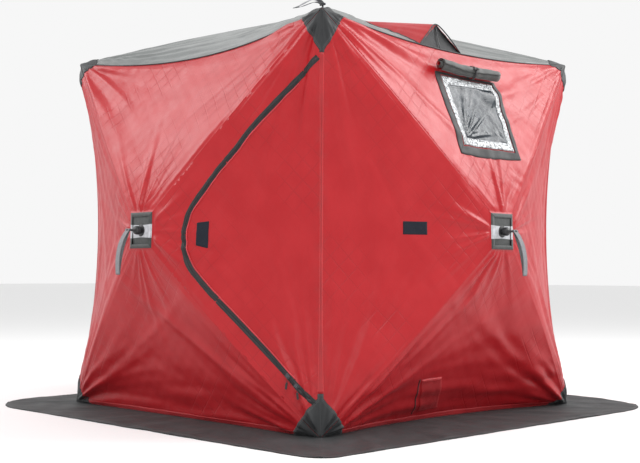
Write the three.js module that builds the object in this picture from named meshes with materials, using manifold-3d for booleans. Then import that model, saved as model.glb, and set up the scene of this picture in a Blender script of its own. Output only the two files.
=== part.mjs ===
// Hub-style pop-up ice fishing shelter, millimetres, +Z up.
// Origin: centre of the footprint on the ground. The front wall (with the
// zipped door) faces -Y, the right wall (with the window) faces +X.
// Four walls and a roof each have one central hub with four sprung poles
// that run to the corners; each wall and the roof is cut as four triangular
// fabric panels that meet at the hub.
import * as THREE from 'three';
import { mergeVertices } from 'three/addons/utils/BufferGeometryUtils.js';
import Module from 'manifold-3d';

const wasm = await Module();
wasm.setup();

// ---------------------------------------------------------------- dimensions
const HALF_SIDE = 900;        // corner to corner side is 1800
const EAVE_Z = 1775;          // height of the four top corners
const BASE_Z = 8;             // height of the lower fabric edge
const HUB_Z = 870;            // height of the wall hubs
const HUB_OUT = 250;          // how far each hub stands out of its plane
const PANEL_INNER = 62;       // half size of the panels' inner end, under the patch
const FABRIC = 2.5;           // thickness of the quilted, insulated fabric
const BOW_POWER = 2.2;        // how quickly the bow of an edge fades inwards
const BOW_CORNER = 74;        // inward bow of the vertical edges, on X and on Y
const BOW_EAVE = { front: 75, right: 48, back: 60, left: 50 };
const BOW_BASE = { front: 0, right: 105, back: 50, left: 50 };
const EDGE_GAP = 3;           // panel edge to the edge line
const RIDGE_GAP = 2.4;        // panel edge to the ridge line

const PATCH_HALF = 82.5;      // square reinforced patch over the hub
const PATCH_Z = 10;           // patch underside above the panels' inner end
const PATCH_T = 3;
const HUB_R = 53;             // moulded hub block
const HUB_TOP = -12;
const HUB_BOTTOM = -50;
const STEM_R = 17;
const PIN_R = 3;
const PIN_RADIUS = 40;        // clevis pin centre to hub axis
const PIN_DEPTH = -30;
const SLOT_W = 13;
const KNOB_R = 19;
const ROD_R = 5;
const BAR_OUT = 72;           // cross bar centre above the panels' inner end
const BAR_R = 4;
const BAR_HALF = 19;

const POLE_R = 5.5;           // 11 mm solid fibreglass pole
const POLE_SHORT = 95;        // pole tip stops this far short of the corner
const POLE_TIP_IN = 36;       // and this far inside the wall plane

const STRAP_W = 25;           // pull strap webbing
const STRAP_T = 4;            // two layers of webbing, sewn together
const SKIRT_HALF = 1270;      // outer edge of the ground skirt
const SKIRT_T = 4;
const SKIRT_ROUND = { near: 110, far: 360 };

const DOOR_GAP = 3;           // zipper gap between the door and its panel
const WINDOW = { y0: -192, y1: 257, z0: 1216, z1: 1602 };
const WINDOW_HOLE_IN = 26;    // the panel laps the window's frame by this much
const ROLL_R = 29;            // rolled-up window cover

// ---------------------------------------------------------------- colours
const RED = 0xc4343a, GREY = 0x7d8280, CHARCOAL = 0x3b3e40, BLACK = 0x17181a;

const V = (x, y, z) => new THREE.Vector3(x, y, z);
const group = new THREE.Group();

function addMesh(name, geometry, color, roughness, metalness = 0) {
  const m = new THREE.Mesh(geometry, new THREE.MeshStandardMaterial({ color, roughness, metalness }));
  m.name = name;
  group.add(m);
  return m;
}

// ---------------------------------------------------------------- closed solids
function geomFrom(points, tris) {
  const g = new THREE.BufferGeometry();
  g.setAttribute('position', new THREE.Float32BufferAttribute(points.flatMap(p => [p.x, p.y, p.z]), 3));
  g.setIndex(tris.flat());
  return g;
}

function volume(points, tris) {
  let v = 0;
  for (const [a, b, c] of tris) v += points[a].dot(points[b].clone().cross(points[c]));
  return v / 6;
}

function closedFrom(points, tris) {
  if (volume(points, tris) < 0) tris = tris.map(([a, b, c]) => [a, c, b]);
  return geomFrom(points, tris);
}

function toSolid(geometry) {
  const g = geometry.clone();
  for (const k of Object.keys(g.attributes)) if (k !== 'position') g.deleteAttribute(k);
  const m = mergeVertices(g.index ? g : g, 1e-4);
  const n = m.index.count;
  return new wasm.Manifold(new wasm.Mesh({
    numProp: 3,
    vertProperties: new Float32Array(m.attributes.position.array),
    triVerts: new Uint32Array(Array.from({ length: n }, (_, i) => m.index.getX(i))),
  }));
}

function toGeometry(solid) {
  const mesh = solid.getMesh();
  const g = new THREE.BufferGeometry();
  g.setAttribute('position', new THREE.BufferAttribute(new Float32Array(mesh.vertProperties), 3));
  g.setIndex(new THREE.BufferAttribute(new Uint32Array(mesh.triVerts), 1));
  return g;
}

const placed = (geometry, matrix) => geometry.clone().applyMatrix4(matrix);
const joinAll = list => list.map(toSolid).reduce((a, b) => a.add(b));

// a sheet between two point grids: rows of equal length, closed round its rim
function sheetFromGrid(outer, inner, wrap = false) {
  const nr = outer.length, nc = outer[0].length, points = [], tris = [];
  for (const rows of [outer, inner]) for (const r of rows) for (const p of r) points.push(p);
  const id = (side, r, c) => side * nr * nc + r * nc + (wrap ? (c + nc) % nc : c);
  const cols = wrap ? nc : nc - 1;
  for (let r = 0; r + 1 < nr; r++) for (let c = 0; c < cols; c++) {
    const a = id(0, r, c), b = id(0, r, c + 1), d = id(0, r + 1, c), e = id(0, r + 1, c + 1);
    tris.push([a, b, e], [a, e, d]);
    const a2 = id(1, r, c), b2 = id(1, r, c + 1), d2 = id(1, r + 1, c), e2 = id(1, r + 1, c + 1);
    tris.push([a2, e2, b2], [a2, d2, e2]);
  }
  const rim = (a, b, a2, b2) => { tris.push([a, a2, b2], [a, b2, b]); };
  for (let c = 0; c < cols; c++) {
    rim(id(0, 0, c), id(0, 0, c + 1), id(1, 0, c), id(1, 0, c + 1));
    rim(id(0, nr - 1, c + 1), id(0, nr - 1, c), id(1, nr - 1, c + 1), id(1, nr - 1, c));
  }
  if (!wrap) for (let r = 0; r + 1 < nr; r++) {
    rim(id(0, r + 1, 0), id(0, r, 0), id(1, r + 1, 0), id(1, r, 0));
    rim(id(0, r, nc - 1), id(0, r + 1, nc - 1), id(1, r, nc - 1), id(1, r + 1, nc - 1));
  }
  return closedFrom(points, tris);
}

// a sheet that fills a loop: rings that close on a centre point
function discFromRings(rings, centre) {
  // rings: [[outer point, inner point], ...] per ring, centre: [outer, inner]
  const nr = rings.length, nc = rings[0].length, points = [], tris = [];
  for (const side of [0, 1]) for (const r of rings) for (const p of r) points.push(p[side]);
  const id = (side, r, c) => side * nr * nc + r * nc + (c + nc) % nc;
  const c0 = points.length; points.push(centre[0], centre[1]);
  for (let c = 0; c < nc; c++) {
    for (let r = 0; r + 1 < nr; r++) {
      tris.push([id(0, r, c), id(0, r, c + 1), id(0, r + 1, c + 1)], [id(0, r, c), id(0, r + 1, c + 1), id(0, r + 1, c)]);
      tris.push([id(1, r, c), id(1, r + 1, c + 1), id(1, r, c + 1)], [id(1, r, c), id(1, r + 1, c), id(1, r + 1, c + 1)]);
    }
    tris.push([id(0, nr - 1, c), id(0, nr - 1, c + 1), c0], [id(1, nr - 1, c + 1), id(1, nr - 1, c), c0 + 1]);
    tris.push([id(0, 0, c), id(1, 0, c), id(1, 0, c + 1)], [id(0, 0, c), id(1, 0, c + 1), id(0, 0, c + 1)]);
  }
  return closedFrom(points, tris);
}

// ---------------------------------------------------------------- walls and roof
// Each face has a centre on its plane and an (across, up, out) set of axes.
const FACES = {
  front: { t: V(1, 0, 0), u: V(0, 0, 1), n: V(0, -1, 0), o: V(0, -HALF_SIDE, HUB_Z) },
  right: { t: V(0, 1, 0), u: V(0, 0, 1), n: V(1, 0, 0), o: V(HALF_SIDE, 0, HUB_Z) },
  back: { t: V(-1, 0, 0), u: V(0, 0, 1), n: V(0, 1, 0), o: V(0, HALF_SIDE, HUB_Z) },
  left: { t: V(0, -1, 0), u: V(0, 0, 1), n: V(-1, 0, 0), o: V(-HALF_SIDE, 0, HUB_Z) },
  roof: { t: V(1, 0, 0), u: V(0, 1, 0), n: V(0, 0, 1), o: V(0, 0, EAVE_Z) },
};
const at = (f, a, b, c = 0) => f.o.clone().addScaledVector(f.t, a).addScaledVector(f.u, b).addScaledVector(f.n, c);
for (const [name, f] of Object.entries(FACES)) {
  f.name = name;
  f.top = name === 'roof' ? HALF_SIDE : EAVE_Z - HUB_Z;
  f.bottom = name === 'roof' ? -HALF_SIDE : BASE_Z - HUB_Z;
  f.matrix = new THREE.Matrix4().makeBasis(f.t, f.u, f.n).setPosition(f.o);
}

// A panel is the ruled surface from an edge (v = 0) to the hub (v = 1), with
// the edge bowed towards the inside; u runs along the edge.
const SIDE_OF = {
  top: [[-1, 'top'], [1, 'top']], bottom: [[1, 'bottom'], [-1, 'bottom']],
  left: [[-1, 'bottom'], [-1, 'top']], right: [[1, 'top'], [1, 'bottom']],
};
function makePanel(f, side, bow) {
  const k = PANEL_INNER;
  const [p, q] = SIDE_OF[side];
  const corner = ([sx, row]) => at(f, sx * HALF_SIDE, f[row]);
  const inner = ([sx, row]) => at(f, sx * k, row === 'top' ? k : -k, HUB_OUT);
  const A = corner(p), B = corner(q), Ai = inner(p), Bi = inner(q);
  const panel = { f, side, A, B, Ai, Bi, bow };
  panel.at = (s, t) => {
    const w = 4 * s * (1 - s) * Math.pow(Math.max(0, 1 - t), BOW_POWER);
    return A.clone().lerp(B, s).lerp(Ai.clone().lerp(Bi, s), t).addScaledVector(bow, w);
  };
  panel.normal = (s, t) => {
    const e = 1e-3, s1 = Math.min(1, s + e), s0 = Math.max(0, s - e), t1 = Math.min(1, t + e), t0 = Math.max(0, t - e);
    const ds = panel.at(s1, t).sub(panel.at(s0, t)), dt = panel.at(s, t1).sub(panel.at(s, t0));
    const n = ds.cross(dt).normalize();
    return n.dot(f.n) < 0 ? n.negate() : n;
  };
  panel.rowLength = t => A.distanceTo(B) * (1 - t) + Ai.distanceTo(Bi) * t;
  panel.depth = A.clone().lerp(B, 0.5).distanceTo(Ai.clone().lerp(Bi, 0.5));
  panel.lift = (s, t, h) => panel.at(s, t).addScaledVector(panel.normal(s, t), h);
  return panel;
}
const PANELS = {};
const cornerBow = { front: V(0, 1, 0), right: V(-1, 0, 0), back: V(0, -1, 0), left: V(1, 0, 0) };
const WALLS = ['front', 'right', 'back', 'left'];
WALLS.forEach((name, i) => {
  const f = FACES[name], next = WALLS[(i + 1) % 4], prev = WALLS[(i + 3) % 4];
  const own = cornerBow[name];
  PANELS[name + '_top'] = makePanel(f, 'top', own.clone().multiplyScalar(BOW_EAVE[name]).add(V(0, 0, -BOW_EAVE[name])));
  PANELS[name + '_bottom'] = makePanel(f, 'bottom', own.clone().multiplyScalar(BOW_BASE[name]));
  PANELS[name + '_right'] = makePanel(f, 'right', own.clone().add(cornerBow[next]).multiplyScalar(BOW_CORNER));
  PANELS[name + '_left'] = makePanel(f, 'left', own.clone().add(cornerBow[prev]).multiplyScalar(BOW_CORNER));
});
// roof panels take the name of the wall they meet
for (const [name, side] of [['front', 'bottom'], ['right', 'right'], ['back', 'top'], ['left', 'left']])
  PANELS['roof_' + name] = makePanel(FACES.roof, side, cornerBow[name].clone().multiplyScalar(BOW_EAVE[name]).add(V(0, 0, -BOW_EAVE[name])));

function plainPanel(panel, hOut = 0, hIn = -FABRIC, grow = 0, nu = 8, nv = 4) {
  const outer = [], inner = [];
  for (let r = 0; r <= nv; r++) {
    const t0 = (EDGE_GAP - grow) / panel.depth, q = r / nv;
    const t = t0 + (1 - t0) * q ** 1.15;
    const cut = (RIDGE_GAP - grow) / panel.rowLength(t), ro = [], ri = [];
    for (let c = 0; c <= nu; c++) {
      const s = cut + (1 - 2 * cut) * c / nu;
      ro.push(panel.lift(s, t, hOut));
      ri.push(panel.lift(s, t, hIn));
    }
    outer.push(ro); inner.push(ri);
  }
  return sheetFromGrid(outer, inner);
}

// a panel with an opening: a ring between the panel's rim and a loop in (s, t)
function ringPanel(panel, loop, across = 3, hOut = 0, hIn = -FABRIC, grow = 0) {
  const t0 = (EDGE_GAP - grow) / panel.depth, n = loop.length;
  // the rim point that each loop point looks at, from the loop's centre
  const cs = loop.reduce((a, p) => a + p[0], 0) / n, ct = loop.reduce((a, p) => a + p[1], 0) / n;
  const rim = loop.map(([s, t]) => {
    let lo = 0, hi = 60;
    const inside = k => {
      const ss = cs + (s - cs) * k, tt = ct + (t - ct) * k;
      if (tt < t0 || tt > 1) return false;
      const cut = (RIDGE_GAP - grow) / panel.rowLength(tt);
      return ss >= cut && ss <= 1 - cut;
    };
    for (let i = 0; i < 60; i++) { const m = (lo + hi) / 2; if (inside(m)) lo = m; else hi = m; }
    return [cs + (s - cs) * lo, ct + (t - ct) * lo];
  });
  // the four rim corners are taken by their nearest rim points
  for (const [sc, tc] of [[0, t0], [1, t0], [0, 1], [1, 1]]) {
    const cut = (RIDGE_GAP - grow) / panel.rowLength(tc), c = [sc ? 1 - cut : cut, tc];
    let best = 0, bd = 1e9;
    rim.forEach((p, i) => { const d = panel.at(...p).distanceTo(panel.at(...c)); if (d < bd) { bd = d; best = i; } });
    rim[best] = c;
  }
  const outer = [], inner = [];
  for (let r = 0; r <= across; r++) {
    const k = r / across;
    const row = rim.map((p, i) => [p[0] + (loop[i][0] - p[0]) * k, p[1] + (loop[i][1] - p[1]) * k]);
    outer.push(row.map(p => panel.lift(...p, hOut)));
    inner.push(row.map(p => panel.lift(...p, hIn)));
  }
  return sheetFromGrid(outer, inner, true);
}

function resample(points, n) {
  const curve = new THREE.CatmullRomCurve3(points.map(p => V(p[0], p[1], 0)), true, 'centripetal');
  return curve.getSpacedPoints(n).slice(0, n).map(p => [p.x, p.y]);
}

// ---- door: the D-shaped leaf inside the front wall's right panel.
// Points are (s, t): s runs down the vertical edge, t runs from it to the hub.
const doorPanel = PANELS.front_right;
const DOOR_LINE = [
  [0.110, 0.068], [0.116, 0.14], [0.124, 0.24], [0.142, 0.385], [0.170, 0.475], [0.202, 0.575], [0.255, 0.655], [0.335, 0.730],
  [0.445, 0.765], [0.580, 0.775], [0.715, 0.762], [0.805, 0.715], [0.858, 0.60], [0.885, 0.47], [0.903, 0.34], [0.918, 0.20], [0.927, 0.11], [0.929, 0.068],
];
const doorHinge = [];
for (let i = 0; i <= 7; i++) doorHinge.push([0.908 - (0.908 - 0.132) * i / 7, 0.045]);
// the run along the zipper is smoothed; the straight hinge side is kept straight
function doorLoop() {
  const zip = new THREE.CatmullRomCurve3(DOOR_LINE.map(p => V(p[0], p[1], 0)), false, 'centripetal').getSpacedPoints(26);
  return [...zip.map(p => [p.x, p.y]), ...doorHinge];
}
function shrinkLoop(panel, loop, dist) {
  // moves every loop point inwards by a distance on the surface
  const n = loop.length;
  return loop.map((p, i) => {
    const a = panel.at(...loop[(i + n - 1) % n]), b = panel.at(...loop[(i + 1) % n]), c = panel.at(...p);
    const along = b.clone().sub(a).normalize(), nrm = panel.normal(...p), into = nrm.clone().cross(along);
    const cs = loop.reduce((x, q) => x + q[0], 0) / n, ct = loop.reduce((x, q) => x + q[1], 0) / n;
    if (into.dot(panel.at(cs, ct).sub(c)) < 0) into.negate();
    const e = 1e-4;
    const ds = panel.at(p[0] + e, p[1]).sub(c).divideScalar(e), dt = panel.at(p[0], p[1] + e).sub(c).divideScalar(e);
    // least squares for the (s, t) step that moves the point by dist
    const g11 = ds.dot(ds), g12 = ds.dot(dt), g22 = dt.dot(dt), r1 = ds.dot(into) * dist, r2 = dt.dot(into) * dist, det = g11 * g22 - g12 * g12;
    return [p[0] + (g22 * r1 - g12 * r2) / det, p[1] + (g11 * r2 - g12 * r1) / det];
  });
}
function discPanel(panel, loop, rings, hOut, hIn) {
  const n = loop.length;
  const cs = loop.reduce((a, p) => a + p[0], 0) / n, ct = loop.reduce((a, p) => a + p[1], 0) / n;
  const out = [];
  for (let r = 0; r < rings; r++) {
    const k = 1 - r / rings;
    out.push(loop.map(([s, t]) => {
      const ss = cs + (s - cs) * k, tt = ct + (t - ct) * k;
      return [panel.lift(ss, tt, hOut), panel.lift(ss, tt, hIn)];
    }));
  }
  return discFromRings(out, [panel.lift(cs, ct, hOut), panel.lift(cs, ct, hIn)]);
}

// ---- window: a rectangle in the right wall's top panel, given by y and z
const windowPanel = PANELS.right_top;
function solvePanel(panel, test) {
  // finds (s, t) where the surface point has the wanted two coordinates
  let s = 0.5, t = 0.4;
  for (let i = 0; i < 30; i++) {
    const e = 1e-5, r = test(panel.at(s, t)), rs = test(panel.at(s + e, t)), rt = test(panel.at(s, t + e));
    const a = (rs[0] - r[0]) / e, b = (rt[0] - r[0]) / e, c = (rs[1] - r[1]) / e, d = (rt[1] - r[1]) / e, det = a * d - b * c;
    s -= (d * r[0] - b * r[1]) / det; t -= (a * r[1] - c * r[0]) / det;
  }
  return [s, t];
}
function windowLoop(inset, perSide = 6) {
  const y0 = WINDOW.y0 + inset, y1 = WINDOW.y1 - inset, z0 = WINDOW.z0 + inset, z1 = WINDOW.z1 - inset, pts = [];
  const corners = [[y0, z0], [y1, z0], [y1, z1], [y0, z1]];
  corners.forEach((c, i) => {
    const d = corners[(i + 1) % 4];
    for (let k = 0; k < perSide; k++) pts.push([c[0] + (d[0] - c[0]) * k / perSide, c[1] + (d[1] - c[1]) * k / perSide]);
  });
  return pts.map(([y, z]) => solvePanel(windowPanel, p => [p.y - y, p.z - z]));
}

function panelGeometry(panel, hOut, hIn, grow = 0) {
  if (panel === doorPanel) return ringPanel(panel, grow ? shrinkLoop(panel, doorLoop(), grow) : doorLoop(), 2, hOut, hIn, grow);
  if (panel === windowPanel) return ringPanel(panel, windowLoop(WINDOW_HOLE_IN, 5), 2, hOut, hIn, grow);
  return plainPanel(panel, hOut, hIn, grow);
}
// the same panel, thicker on both sides: what a neighbour keeps clear of
const clearOf = (panel, out = 0.5, inward = -9) => toSolid(panelGeometry(panel, out, inward, 0.7));
function largest(solid) {
  return solid.decompose().reduce((a, b) => (a.volume() > b.volume() ? a : b));
}
for (const [name, panel] of Object.entries(PANELS)) {
  const roof = name.startsWith('roof_');
  const node = roof ? 'roof_panel_' + name.slice(5) : name.replace('_', '_panel_');
  addMesh(node, panelGeometry(panel, 0, -FABRIC), roof ? GREY : RED, 0.55);
}
const doorSolid = toSolid(discPanel(doorPanel, shrinkLoop(doorPanel, doorLoop(), DOOR_GAP), 3, 0, -FABRIC))
  .subtract(clearOf(doorPanel, 6, -8));
addMesh('door_flap', toGeometry(largest(doorSolid)), RED, 0.55);
addMesh('window_pane', discPanel(windowPanel, windowLoop(0, 6), 3, 3.4, 0.9), BLACK, 0.25);

// ---- rolled-up window cover, lying along the window's top edge
{
  const y0 = WINDOW.y0 + 16, y1 = WINDOW.y1 + 14, pts = [];
  for (let i = 0; i <= 5; i++) {
    const y = y0 + (y1 - y0) * i / 5;
    const [s, t] = solvePanel(windowPanel, p => [p.y - y, p.z - (WINDOW.z1 + 22)]);
    pts.push(windowPanel.lift(s, t, ROLL_R + 4.6));
  }
  const shape = new THREE.Shape();
  shape.absarc(0, 0, ROLL_R, 0, Math.PI * 2, false);
  const path = new THREE.CatmullRomCurve3(pts);
  addMesh('window_cover_roll', new THREE.ExtrudeGeometry(shape, { steps: 6, curveSegments: 16, extrudePath: path, bevelEnabled: false }), CHARCOAL, 0.7);
}

// ---------------------------------------------------------------- corner seams
// One piece of binding per corner: a bowed strip down the vertical edge with a
// reinforcing patch at its top, over both walls and the roof, and one at its foot.
const CAP_OUT = 3.4, CAP_IN = 1.0;
function meet(list) {
  // a point where several panels meet, lifted so that it clears all of them
  const p = list[0][0].at(list[0][1], list[0][2]);
  const ns = list.map(([panel, s, t]) => panel.normal(s, t));
  const m = ns.reduce((a, n) => a.add(n), V(0, 0, 0)).normalize();
  const c = Math.min(...ns.map(n => n.dot(m)));
  return h => p.clone().addScaledVector(m, h / Math.max(0.35, c));
}
function cornerSeam(i) {
  const a = WALLS[i], b = WALLS[(i + 1) % 4];
  const pr = PANELS[a + '_right'], pl = PANELS[b + '_left'];       // share the vertical edge
  const at_ = PANELS[a + '_top'], bt = PANELS[b + '_top'];
  const ab = PANELS[a + '_bottom'], bb = PANELS[b + '_bottom'];
  const ra = PANELS['roof_' + a], rb = PANELS['roof_' + b];
  const strip = [], stations = 8, wide = 24;
  for (let k = 0; k <= stations; k++) {
    const z = 0.0014 + 0.9972 * Math.min(0.99, Math.max(0.01, k / stations)); // fraction down the edge
    const e = meet([[pr, z, 0], [pl, 1 - z, 0]]);
    const t = wide / pr.depth;
    const L = h => pr.lift(z, t, h), R = h => pl.lift(1 - z, t, h);
    strip.push([L(CAP_OUT), e(CAP_OUT), R(CAP_OUT), R(CAP_IN), e(CAP_IN), L(CAP_IN)]);
  }
  // strip as a lofted six-sided bar with flat ends
  const pts = strip.flat(), tris = [], m = 6;
  for (let k = 0; k < stations; k++) for (let c = 0; c < m; c++) {
    const p = k * m + c, q = k * m + (c + 1) % m;
    tris.push([p, q, q + m], [p, q + m, p + m]);
  }
  const end = (o, flip) => { for (const [x, y, z] of [[0, 1, 4], [0, 4, 5], [1, 2, 3], [1, 3, 4]]) tris.push(flip ? [o + x, o + y, o + z] : [o + x, o + z, o + y]); };
  end(0, false); end(stations * m, true);
  const stripGeometry = closedFrom(pts, tris);

  // fraction along an edge line that lies d millimetres from the corner
  const fr = (panel, d) => d / panel.A.distanceTo(panel.B);
  const RHO_V = 165, RHO_E = 120, RHO_R = 118;
  const ridge = (panel, s, d) => { const c = s ? panel.B : panel.A, q = s ? panel.Bi : panel.Ai; return [panel, s, d / c.distanceTo(q)]; };
  // the loop of the top patch, round the corner: points on edges and ridges
  // a point on one panel between an edge point and a ridge point
  const between = (panel, atB, dEdge, dRidge) => {
    const c = atB ? panel.B : panel.A, q = atB ? panel.Bi : panel.Ai;
    const s = 0.56 * dEdge / panel.A.distanceTo(panel.B);
    return [panel, atB ? 1 - s : s, 0.54 * dRidge / c.distanceTo(q)];
  };
  const raB = roofEnd(ra, a, true) === 1, rbB = roofEnd(rb, b, false) === 1;
  const loopAt = k => [
    meet([[pr, fr(pr, RHO_V * k), 0], [pl, 1 - fr(pl, RHO_V * k), 0]]),
    meet([between(pr, false, RHO_V * k, RHO_R * k)]),
    meet([ridge(pr, 0, RHO_R * k), ridge(at_, 1, RHO_R * k)]),
    meet([between(at_, true, RHO_E * k, RHO_R * k)]),
    meet([[at_, 1 - fr(at_, RHO_E * k), 0], roofEdge(ra, a, true, RHO_E * k)]),
    meet([between(ra, raB, RHO_E * k, RHO_R * k)]),
    meet([roofRidge(ra, a, true, RHO_R * k), roofRidge(rb, b, false, RHO_R * k)]),
    meet([between(rb, rbB, RHO_E * k, RHO_R * k)]),
    meet([[bt, fr(bt, RHO_E * k), 0], roofEdge(rb, b, false, RHO_E * k)]),
    meet([between(bt, false, RHO_E * k, RHO_R * k)]),
    meet([ridge(pl, 1, RHO_R * k), ridge(bt, 0, RHO_R * k)]),
    meet([between(pl, true, RHO_V * k, RHO_R * k)]),
  ];
  const corner = meet([[pr, 0, 0], [pl, 1, 0], [at_, 1, 0], [bt, 0, 0], roofEdge(ra, a, true, 0), roofEdge(rb, b, false, 0)]);
  const rings = [1, 0.5].map(k => loopAt(k).map(f => [f(CAP_OUT + 0.6), f(CAP_IN + 0.3)]));
  const top = discFromRings(rings, [corner(CAP_OUT + 0.6), corner(CAP_IN + 0.3)]);

  // the foot patch: an open fan over both walls' lower corners
  const foot = k => [
    meet([[ab, fr(ab, RHO_E * k), 0]]),
    meet([between(ab, false, RHO_E * k, RHO_R * k)]),
    meet([ridge(pr, 1, RHO_R * k), ridge(ab, 0, RHO_R * k)]),
    meet([between(pr, true, RHO_V * k, RHO_R * k)]),
    meet([[pr, 1 - fr(pr, RHO_V * k), 0], [pl, fr(pl, RHO_V * k), 0]]),
    meet([between(pl, false, RHO_V * k, RHO_R * k)]),
    meet([ridge(pl, 0, RHO_R * k), ridge(bb, 1, RHO_R * k)]),
    meet([between(bb, true, RHO_E * k, RHO_R * k)]),
    meet([[bb, 1 - fr(bb, RHO_E * k), 0]]),
  ];
  const grid = h => [0.03, 0.5, 1].map(k => foot(k).map(f => f(h)));
  const bottom = sheetFromGrid(grid(CAP_OUT + 0.6), grid(CAP_IN + 0.3));
  let seam = joinAll([stripGeometry, top, bottom]);
  for (const panel of [pr, pl, at_, bt, ab, bb, ra, rb]) seam = seam.subtract(clearOf(panel));
  return toGeometry(largest(seam));
}
// which (s, t) of a roof panel lies d from the shared corner, along its eave
// (atEnd true: the corner at the wall's right end seen from outside)
function roofEnd(panel, wall, atEnd) {
  const corner = at(FACES[wall], atEnd ? HALF_SIDE : -HALF_SIDE, FACES[wall].top);
  return panel.A.distanceTo(corner) < 1 ? 0 : 1;
}
function roofEdge(panel, wall, atEnd, d) {
  const s = roofEnd(panel, wall, atEnd), q = d / panel.A.distanceTo(panel.B);
  return [panel, s ? 1 - q : q, 0];
}
function roofRidge(panel, wall, atEnd, d) {
  const s = roofEnd(panel, wall, atEnd), c = s ? panel.B : panel.A, q = s ? panel.Bi : panel.Ai;
  return [panel, s, d / c.distanceTo(q)];
}
const CORNER_NAMES = ['corner_seam_front_right', 'corner_seam_back_right', 'corner_seam_back_left', 'corner_seam_front_left'];
for (let i = 0; i < 4; i++) addMesh(CORNER_NAMES[i], cornerSeam(i), CHARCOAL, 0.7);

// ---------------------------------------------------------------- ground skirt
{
  const N = 20, outer = [], inner = [];                       // points per side
  // corners in order: front-right, back-right, back-left, front-left
  const sx = [1, 1, -1, -1], sy = [-1, 1, 1, -1];
  const radius = [SKIRT_ROUND.near, SKIRT_ROUND.far, SKIRT_ROUND.far, SKIRT_ROUND.far];
  for (let i = 0; i < 4; i++) {
    const wall = WALLS[(i + 1) % 4], base = PANELS[wall + '_bottom'];
    const j = (i + 1) % 4, r = radius[i], r2 = radius[j];
    const cx = sx[i] * (SKIRT_HALF - r), cy = sy[i] * (SKIRT_HALF - r), a0 = Math.atan2(sy[i], sx[i]);
    const cx2 = sx[j] * (SKIRT_HALF - r2), cy2 = sy[j] * (SKIRT_HALF - r2);
    const side = [];
    for (let k = 0; k <= 5; k++) { const a = a0 + k / 5 * Math.PI / 4; side.push([cx + r * Math.cos(a), cy + r * Math.sin(a)]); }
    const a1 = a0 + Math.PI / 4, p0 = side[5], p1 = [cx2 + r2 * Math.cos(a1), cy2 + r2 * Math.sin(a1)];
    for (let k = 1; k <= N - 11; k++) { const q = k / (N - 10); side.push([p0[0] + (p1[0] - p0[0]) * q, p0[1] + (p1[1] - p0[1]) * q]); }
    for (let k = 0; k < 5; k++) { const a = a1 + k / 5 * Math.PI / 4; side.push([cx2 + r2 * Math.cos(a), cy2 + r2 * Math.sin(a)]); }
    side.forEach(([x, y], k) => {
      outer.push([x, y]);
      // the same fraction along the wall's foot, just inside it
      const s = k / side.length, p = base.at(1 - s, 0);
      const n = FACES[wall].n, q = 9;
      inner.push([p.x - n.x * q, p.y - n.y * q]);
    });
  }
  // keep the inner corners square
  const rows = [0, 1].map(k => outer.map((o, i) => [o[0] + (inner[i][0] - o[0]) * k, o[1] + (inner[i][1] - o[1]) * k]));
  addMesh('ground_skirt', sheetFromGrid(rows.map(r => r.map(([x, y]) => V(x, y, SKIRT_T))), rows.map(r => r.map(([x, y]) => V(x, y, 0))), true), CHARCOAL, 0.75);
}

// ---------------------------------------------------------------- hubs and poles
function cylinder(r, z0, z1, seg = 16) {
  const g = new THREE.CylinderGeometry(r, r, z1 - z0, seg);
  return g.applyMatrix4(new THREE.Matrix4().makeRotationX(Math.PI / 2).setPosition(0, 0, (z0 + z1) / 2));
}
function box(x0, x1, y0, y1, z0, z1) {
  return new THREE.BoxGeometry(x1 - x0, y1 - y0, z1 - z0).applyMatrix4(new THREE.Matrix4().makeTranslation((x0 + x1) / 2, (y0 + y1) / 2, (z0 + z1) / 2));
}
const spin = a => new THREE.Matrix4().makeRotationZ(a);
const poleAngles = f => ({
  top_right: Math.atan2(f.top, HALF_SIDE), top_left: Math.PI - Math.atan2(f.top, HALF_SIDE),
  bottom_left: Math.PI - Math.atan2(f.bottom, HALF_SIDE), bottom_right: Math.atan2(f.bottom, HALF_SIDE),
});

function hubGeometry(f) {
  const knob = new THREE.LatheGeometry([[0, 0], [KNOB_R, 0], [KNOB_R, 11], [KNOB_R - 3, 18], [KNOB_R - 9, 23], [0, 25]].map(p => new THREE.Vector2(...p)), 14)
    .applyMatrix4(new THREE.Matrix4().makeRotationX(Math.PI / 2).setPosition(0, 0, PATCH_Z + PATCH_T - 0.5));
  const bar = cylinder(BAR_R, -BAR_HALF, BAR_HALF, 8).applyMatrix4(new THREE.Matrix4().makeRotationY(Math.PI / 2).setPosition(0, 0, BAR_OUT));
  let s = joinAll([
    box(-PATCH_HALF, PATCH_HALF, -PATCH_HALF, PATCH_HALF, PATCH_Z, PATCH_Z + PATCH_T),
    cylinder(STEM_R, HUB_TOP - 1, PATCH_Z + 1, 12),
    cylinder(HUB_R, HUB_BOTTOM, HUB_TOP, 24),
    knob,
    cylinder(ROD_R, PATCH_Z + PATCH_T + 20, BAR_OUT + 6, 8),
    bar,
  ]);
  for (const a of Object.values(poleAngles(f))) s = s.subtract(toSolid(placed(box(27, HUB_R + 5, -SLOT_W / 2, SLOT_W / 2, HUB_BOTTOM - 2, HUB_TOP + 2), spin(a))));
  for (const a of Object.values(poleAngles(f))) {
    const pin = cylinder(PIN_R, -SLOT_W / 2 - 5, SLOT_W / 2 + 5, 12)
      .applyMatrix4(new THREE.Matrix4().makeRotationX(Math.PI / 2)).applyMatrix4(new THREE.Matrix4().makeTranslation(PIN_RADIUS, 0, PIN_DEPTH)).applyMatrix4(spin(a));
    s = s.add(toSolid(pin));
  }
  return toGeometry(s).applyMatrix4(f.matrix.clone().setPosition(at(f, 0, 0, HUB_OUT)));
}

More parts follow.
